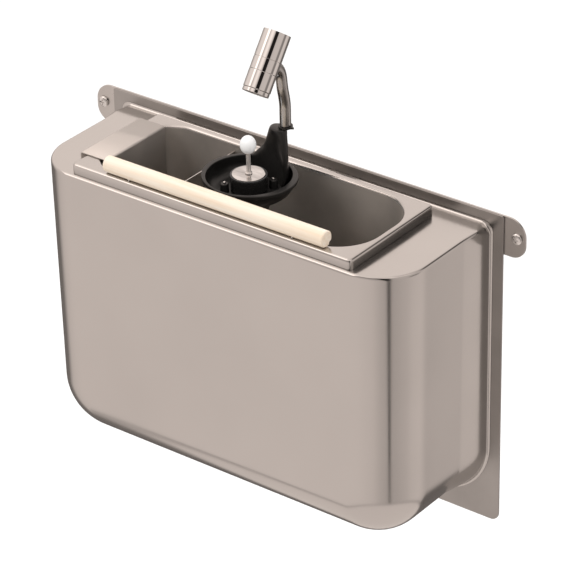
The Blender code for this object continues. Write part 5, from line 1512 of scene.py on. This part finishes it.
class MakeHead(bpy.types.Operator):
    """Make the spray head, its turning sleeve, its aerator and its ball.

    Turned pieces in the head's frame, whose Z runs up its axis and Y to the pipe.
    """

    bl_idname = "dipper_well.head"
    bl_label = "Spray head"

    def execute(self, context):
        sizes = context.scene.dipper_spout
        down, outward, top, pivot = head_frame(sizes)
        turn = Matrix((Vector((1, 0, 0)), outward, -down)).transposed().to_4x4()
        place = Matrix.Translation(top) @ turn
        self.make_body(sizes, place, pivot, turn)
        radius = sizes.head_radius
        sleeve_top = -sizes.body_length - sizes.gap
        sleeve_low = sleeve_top - sizes.sleeve_length
        inner = 0.011
        self.add("flow_sleeve", place, [
            (radius, sleeve_top), (radius, sleeve_low), (inner, sleeve_low), (inner, sleeve_top),
        ])
        ring_top = sleeve_low - sizes.gap
        ring_low = ring_top - sizes.aerator_length
        spigot, spigot_rise, bore, lip, ledge = 0.0106, 0.005, 0.0094, 0.0084, 0.0008
        self.add("aerator_ring", place, [
            (spigot, ring_top + spigot_rise), (spigot, ring_top), (sizes.aerator_radius, ring_top),
            (sizes.aerator_radius, ring_low), (lip, ring_low), (lip, ring_low + ledge),
            (bore, ring_low + ledge), (bore, ring_top + spigot_rise),
        ])
        self.make_insert(place, ring_low + ledge + GAP, bore - GAP)
        return {"FINISHED"}

    def add(self, node, place, profile):
        turned_item(f"{node}_dress", profile, "chrome", "outlet", [node], place, True, TURNED_EDGE)

    def make_body(self, sizes, place, pivot, turn):
        radius = sizes.head_radius
        wall, ceiling = 0.0018, 0.0355
        inner = radius - wall
        groove, half, depth = sizes.groove_down, sizes.groove_width / 2, sizes.groove_depth
        flat = half * GROOVE_FLOOR
        core, core_bore, core_end = 0.0106, 0.0088, 0.0495
        profile = [
            (0, 0), (radius, 0), (radius, half - groove), (radius - depth, flat - groove),
            (radius - depth, -flat - groove), (radius, -half - groove),
            (radius, -sizes.body_length), (core, -sizes.body_length), (core, -core_end),
            (core_bore, -core_end), (core_bore, -ceiling), (inner, -ceiling), (inner, -wall),
            (0, -wall),
        ]
        body = raw_item("spray_head_dress", turned_shape(profile))
        mouth = drum(sizes.mouth_radius, 0.0, sizes.head_radius + OVERRUN, (0, 0))
        moved(mouth, Matrix.Translation((0, 0, -sizes.pivot_down)) @ TO_FRONT.inverted())
        combine(body, mouth)
        body.data.transform(place)
        finish_item(body, "chrome", "head", "spray_head")
        soften(body, sizes.head_edge)
        neck_end = radius - sizes.pivot_back + sizes.pipe_head_gap
        ball, neck, plug, plug_length = 0.0049, 0.003, 0.0033, 0.003
        plug_end = neck_end + plug_length
        profile = [(0, plug_end), (plug, plug_end), (plug, neck_end), (neck, neck_end)]
        start = math.asin(neck / ball)
        for i in range(BALL_STEPS + 1):
            bearing = math.pi / 2 - start - (math.pi - start) * i / BALL_STEPS
            profile.append((ball * math.cos(bearing), ball * math.sin(bearing)))
        profile[-1] = (0, -ball)
        place_ball = Matrix.Translation(pivot) @ turn @ TO_FRONT.inverted()
        turned_item("head_ball_dress", profile, "chrome", "spout", ["head_ball"], place_ball)

    def make_insert(self, place, low, radius):
        """The disc at the mouth; its holes are cut in one go, which keeps the mesh closed."""
        disc = drum(radius, low, low + INSERT_THICK, (0, 0), TURN_STEPS)
        insert = raw_item("aerator_insert_dress", disc)
        ends = low - OVERRUN, low + 2 * OVERRUN
        holes = bmesh.new()
        for reach, count in SPRAY_CIRCLES:
            for bearing in whole_turn(count):
                spot = (reach * math.cos(bearing), reach * math.sin(bearing))
                rings = [circle_ring(SPRAY_HOLE, SPRAY_HOLE, spot, z, SPRAY_STEPS) for z in ends]
                extruded_rings(holes, rings, cap_first=True, cap_last=True)
        combine(insert, holes)
        insert.data.transform(place)
        finish_item(insert, "grey_plastic", "outlet", "aerator_insert")


# Drain and fittings

class FinishNodes(bpy.types.Operator):
    """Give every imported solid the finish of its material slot.

    Each node keeps its shape and takes the finish that its record names.
    """

    bl_idname = "dipper_well.nodes"
    bl_label = "Fittings"

    def execute(self, context):
        slots = {part["node"]: part["material_slot"] for part in frame["record"]["subparts"]}
        for name, item in frame["nodes"].items():
            item.data.materials.clear()
            finish = "long_steel" if slots[name] == "satin_steel" else slots[name]
            item.data.materials.append(FINISHES[finish])
        return {"FINISHED"}


# Stage

FLOOR_TONE = (0.8, 0.79, 0.78)
NEAR_FLOOR, FAR_FLOOR = 1.5, 3.5
NEAR_LIFT, FAR_LIFT = 0.22, 0.4


def floor_material():
    """A pale floor that is just white to the camera where no shadow falls on it."""
    material = bpy.data.materials.new("pale_floor")
    tree, out = bare_tree(material, "ShaderNodeOutputMaterial")
    matte = add_node(tree, "ShaderNodeBsdfDiffuse", Color=(*FLOOR_TONE, 1))
    place = add_node(tree, "ShaderNodeTexCoord")
    away = add_node(tree, "ShaderNodeVectorMath", operation="LENGTH")
    lift = add_node(tree, "ShaderNodeMapRange")
    for name, value in zip(
        ("From Min", "From Max", "To Min", "To Max"), (NEAR_FLOOR, FAR_FLOOR, NEAR_LIFT, FAR_LIFT)
    ):
        lift.inputs[name].default_value = value
    glow = add_node(tree, "ShaderNodeEmission")
    lifted = add_node(tree, "ShaderNodeAddShader")
    path = add_node(tree, "ShaderNodeLightPath")
    mix = add_node(tree, "ShaderNodeMixShader")
    link(tree, place, "Object", away, 0)
    link(tree, away, "Value", lift, "Value")
    link(tree, lift, "Result", glow, "Strength")
    link(tree, matte, 0, lifted, 0)
    link(tree, glow, 0, lifted, 1)
    link(tree, path, "Is Camera Ray", mix, 0)
    link(tree, matte, 0, mix, 1)
    link(tree, lifted, 0, mix, 2)
    link(tree, mix, 0, out, 0)
    return material


LOW_GLOW = (
    (-213, 0.16), (-200, 0.20), (-187, 0.20), (-181, 0.40), (-175, 0.58), (-168, 0.72),
    (-155, 0.79), (-140, 0.82), (-100, 0.82), (-70, 0.76), (-52, 0.63), (-44, 0.60), (-37, 0.57),
    (-22, 0.58), (-12, 0.62), (1, 0.66), (14, 0.74), (34, 0.77), (43, 0.72), (50, 0.65),
    (57, 0.62), (64, 0.16), (147, 0.16),
)
HIGH_GLOW = (
    (-213, 1.0), (-180, 0.90), (-165, 0.90), (-124, 0.86), (-118, 0.39), (-60, 0.39),
    (-36, 0.62), (-10, 0.66), (30, 0.66), (60, 0.70), (90, 0.90), (110, 1.0), (147, 1.0),
)
FIRST_BEARING = -213
STEEP_GLOW = 0.80
LOW_ANGLE, HIGH_ANGLE = -18, 12
HORIZON_MIDDLE, HORIZON_SWING, HORIZON_BEARING = -49, -8, 150
HORIZON_HALF, HORIZON_GLOW = 1.6, 0.25
STRIP_MIDDLE, STRIP_SLOPE = -41.6, -0.182
STRIP_HALF, STRIP_WIDENING = 8.4, 0.18
STRIP_SOFTNESS = 1.5
STRIP_GLOW = 0.015
STRIP_TOP = 42
PATCHES = (
    (-141, 46, 14, 4, 2.6),
    (-170, 56, 18, 8, 1.35),
    (-91, 57, 20, 8, 1.35),
    (-32, 60, 16, 8, 1.25),
    (14, 51, 11, 6, 1.0),
    (56, 31, 13, 5, 0.07),
    (14, -9, 12, 4, 0.26),
)
WARM_LIGHT = (1.0, 0.88, 0.815, 1.0)
LAMPS = (
    ("key", (-1.6, -1.9, 1.9), (1.8, 1.4)),
    ("fill", (2.1, -0.4, 1.7), (1.4, 1.4)),
    ("top", (-0.2, 0.5, 2.2), (2.4, 1.6)),
)
CAMERA_REACH = 50


def from_table(table, value):
    for (start, low), (end, high) in zip(table, table[1:]):
        if value <= end:
            return low + (high - low) * (value - start) / (end - start)
    return table[-1][1]


def ramp(value, start, end):
    return min(1.0, max(0.0, (value - start) / (end - start)))


def mixed(first, second, part):
    return first + (second - first) * part


def glow_at(direction):
    """How bright the dome is in a direction: pale walls, a floor, dark strips, soft patches."""
    height = math.degrees(math.asin(direction.z))
    bearing = math.degrees(math.atan2(direction.y, direction.x))
    bearing = (bearing - FIRST_BEARING) % 360 + FIRST_BEARING
    low, high = from_table(LOW_GLOW, bearing), from_table(HIGH_GLOW, bearing)
    glow = mixed(low, high, ramp(height, LOW_ANGLE, HIGH_ANGLE))
    middle = STRIP_MIDDLE + STRIP_SLOPE * height
    half = STRIP_HALF + STRIP_WIDENING * height
    inside = 1 - ramp(abs(bearing - middle), half - STRIP_SOFTNESS, half + STRIP_SOFTNESS)
    glow = mixed(glow, STRIP_GLOW, inside if height < STRIP_TOP else 0.0)
    for place, rise, radius, soft, strength in PATCHES:
        turn, lift = math.radians(place), math.radians(rise)
        level = math.cos(lift)
        aim = Vector((math.cos(turn) * level, math.sin(turn) * level, math.sin(lift)))
        away = math.degrees(aim.angle(direction))
        glow = mixed(glow, strength, 1 - ramp(away, radius - soft, radius + soft))
    swing = math.cos(math.radians(bearing - HORIZON_BEARING))
    border = HORIZON_MIDDLE + HORIZON_SWING * swing
    glow = mixed(STEEP_GLOW, glow, ramp(height, border - HORIZON_HALF, border))
    return mixed(HORIZON_GLOW, glow, ramp(abs(height - border), 0, HORIZON_HALF))


class MakeStage(bpy.types.Operator):
    """Make the camera, the lamps, the floor, the dome and the world.

    A pale floor and soft lamps, inside a dome that only gloss sees.
    """

    bl_idname = "dipper_well.stage"
    bl_label = "Stage"

    def execute(self, context):
        settings = context.scene.dipper_stage
        scene = context.scene
        scene.view_settings.view_transform = "Standard"
        self.make_camera(scene, settings)
        self.make_world(scene, settings)
        self.make_floor(settings)
        self.make_dome(settings)
        for name, place, size in LAMPS:
            self.make_lamp(scene, f"{name}_lamp", place, size, getattr(settings, f"{name}_power"))
        return {"FINISHED"}

    def make_camera(self, scene, settings):
        azimuth, elevation, roll = settings.azimuth, settings.elevation, settings.roll
        right = Vector((math.cos(azimuth), math.sin(azimuth), 0))
        back = Vector(
            (
                math.sin(azimuth) * math.cos(elevation),
                -math.cos(azimuth) * math.cos(elevation),
                math.sin(elevation),
            )
        )
        up = back.cross(right)
        turned_right = right * math.cos(roll) + up * math.sin(roll)
        turned_up = up * math.cos(roll) - right * math.sin(roll)
        data = bpy.data.cameras.new("photo_camera")
        data.lens = settings.focal_length
        data.clip_end = CAMERA_REACH
        camera = bpy.data.objects.new("photo_camera", data)
        scene.collection.objects.link(camera)
        matrix = Matrix((turned_right, turned_up, back)).transposed().to_4x4()
        camera.matrix_world = Matrix.Translation(settings.camera_place) @ matrix
        scene.camera = camera

    def make_world(self, scene, settings):
        world = bpy.data.worlds.new("studio")
        tree, out = bare_tree(world, "ShaderNodeOutputWorld")
        room = add_node(tree, "ShaderNodeBackground", Strength=settings.room_light)
        seen = add_node(tree, "ShaderNodeBackground", Strength=1.0, Color=(1, 1, 1, 1))
        path = add_node(tree, "ShaderNodeLightPath")
        mix = add_node(tree, "ShaderNodeMixShader")
        link(tree, path, "Is Camera Ray", mix, 0)
        link(tree, room, 0, mix, 1)
        link(tree, seen, 0, mix, 2)
        link(tree, mix, 0, out, 0)
        scene.world = world

    def make_floor(self, settings):
        shape = bmesh.new()
        bmesh.ops.create_grid(shape, x_segments=1, y_segments=1, size=settings.floor_size / 2)
        bmesh.ops.translate(shape, verts=shape.verts, vec=(0, 0, -settings.floor_drop))
        floor = raw_item("floor", shape)
        floor.data.materials.append(floor_material())
        floor.visible_glossy = False

    def make_dome(self, settings):
        """A dome round the stage whose pale and dark parts only polished surfaces show."""
        shape = bmesh.new()
        bmesh.ops.create_uvsphere(
            shape, u_segments=DOME_STEPS, v_segments=DOME_STEPS // 3, radius=settings.dome_radius
        )
        glow = shape.verts.layers.float.new("glow")
        for corner in shape.verts:
            corner[glow] = glow_at(corner.co.normalized())
        bmesh.ops.translate(shape, verts=shape.verts, vec=TANK_CENTRE)
        dome = raw_item("dome", shape)
        material = bpy.data.materials.new("dome_glow")
        tree, out = bare_tree(material, "ShaderNodeOutputMaterial")
        light = add_node(tree, "ShaderNodeEmission", Color=WARM_LIGHT)
        value = add_node(tree, "ShaderNodeAttribute", attribute_name="glow")
        link(tree, value, "Fac", light, "Strength")
        link(tree, light, 0, out, 0)
        dome.data.materials.append(material)
        dome.visible_camera = False
        dome.visible_diffuse = False
        dome.visible_shadow = False

    def make_lamp(self, scene, name, place, size, power):
        data = bpy.data.lights.new(name, "AREA")
        data.shape = "RECTANGLE"
        data.size, data.size_y = size
        data.energy = power
        lamp = bpy.data.objects.new(name, data)
        lamp.visible_glossy = False
        scene.collection.objects.link(lamp)
        lamp.location = place
        lamp.rotation_euler = (Vector(place) - TANK_CENTRE).to_track_quat("Z", "Y").to_euler()


class DipperWellPanel(bpy.types.Panel):
    """Lists the operators in the order that main() calls them."""

    bl_idname = "VIEW3D_PT_dipper_well"
    bl_label = "Dipper well"
    bl_space_type = "VIEW_3D"
    bl_region_type = "UI"
    bl_category = "Dipper well"

    def draw(self, context):
        for operator in OPERATORS:
            self.layout.operator(operator.bl_idname)


SETTINGS = {
    "dipper_mounting": MountingSizes,
    "dipper_housing": HousingSizes,
    "dipper_tank": TankSizes,
    "dipper_bowl": BowlSizes,
    "dipper_valve": ValveSizes,
    "dipper_spout": SpoutSizes,
    "dipper_finishes": Finishes,
    "dipper_stage": StageSettings,
}
OPERATORS = (
    MakeFinishes,
    FinishNodes,
    MakeMounting,
    MakeHousing,
    MakeTank,
    MakeBar,
    MakeBowl,
    MakeValve,
    MakeSpout,
    MakeHead,
    MakeStage,
)


def register():
    for group in SETTINGS.values():
        bpy.utils.register_class(group)
    for name, group in SETTINGS.items():
        setattr(bpy.types.Scene, name, PointerProperty(type=group))
    for operator in OPERATORS:
        bpy.utils.register_class(operator)
    bpy.utils.register_class(DipperWellPanel)


def unregister():
    bpy.utils.unregister_class(DipperWellPanel)
    for operator in reversed(OPERATORS):
        bpy.utils.unregister_class(operator)
    for name, group in SETTINGS.items():
        delattr(bpy.types.Scene, name)
        bpy.utils.unregister_class(group)


def main():
    register()
    for operator in OPERATORS:
        family, action = operator.bl_idname.split(".")
        getattr(getattr(bpy.ops, family), action)()
    bpy.context.view_layer.update()


if __name__ == "__main__":
    main()
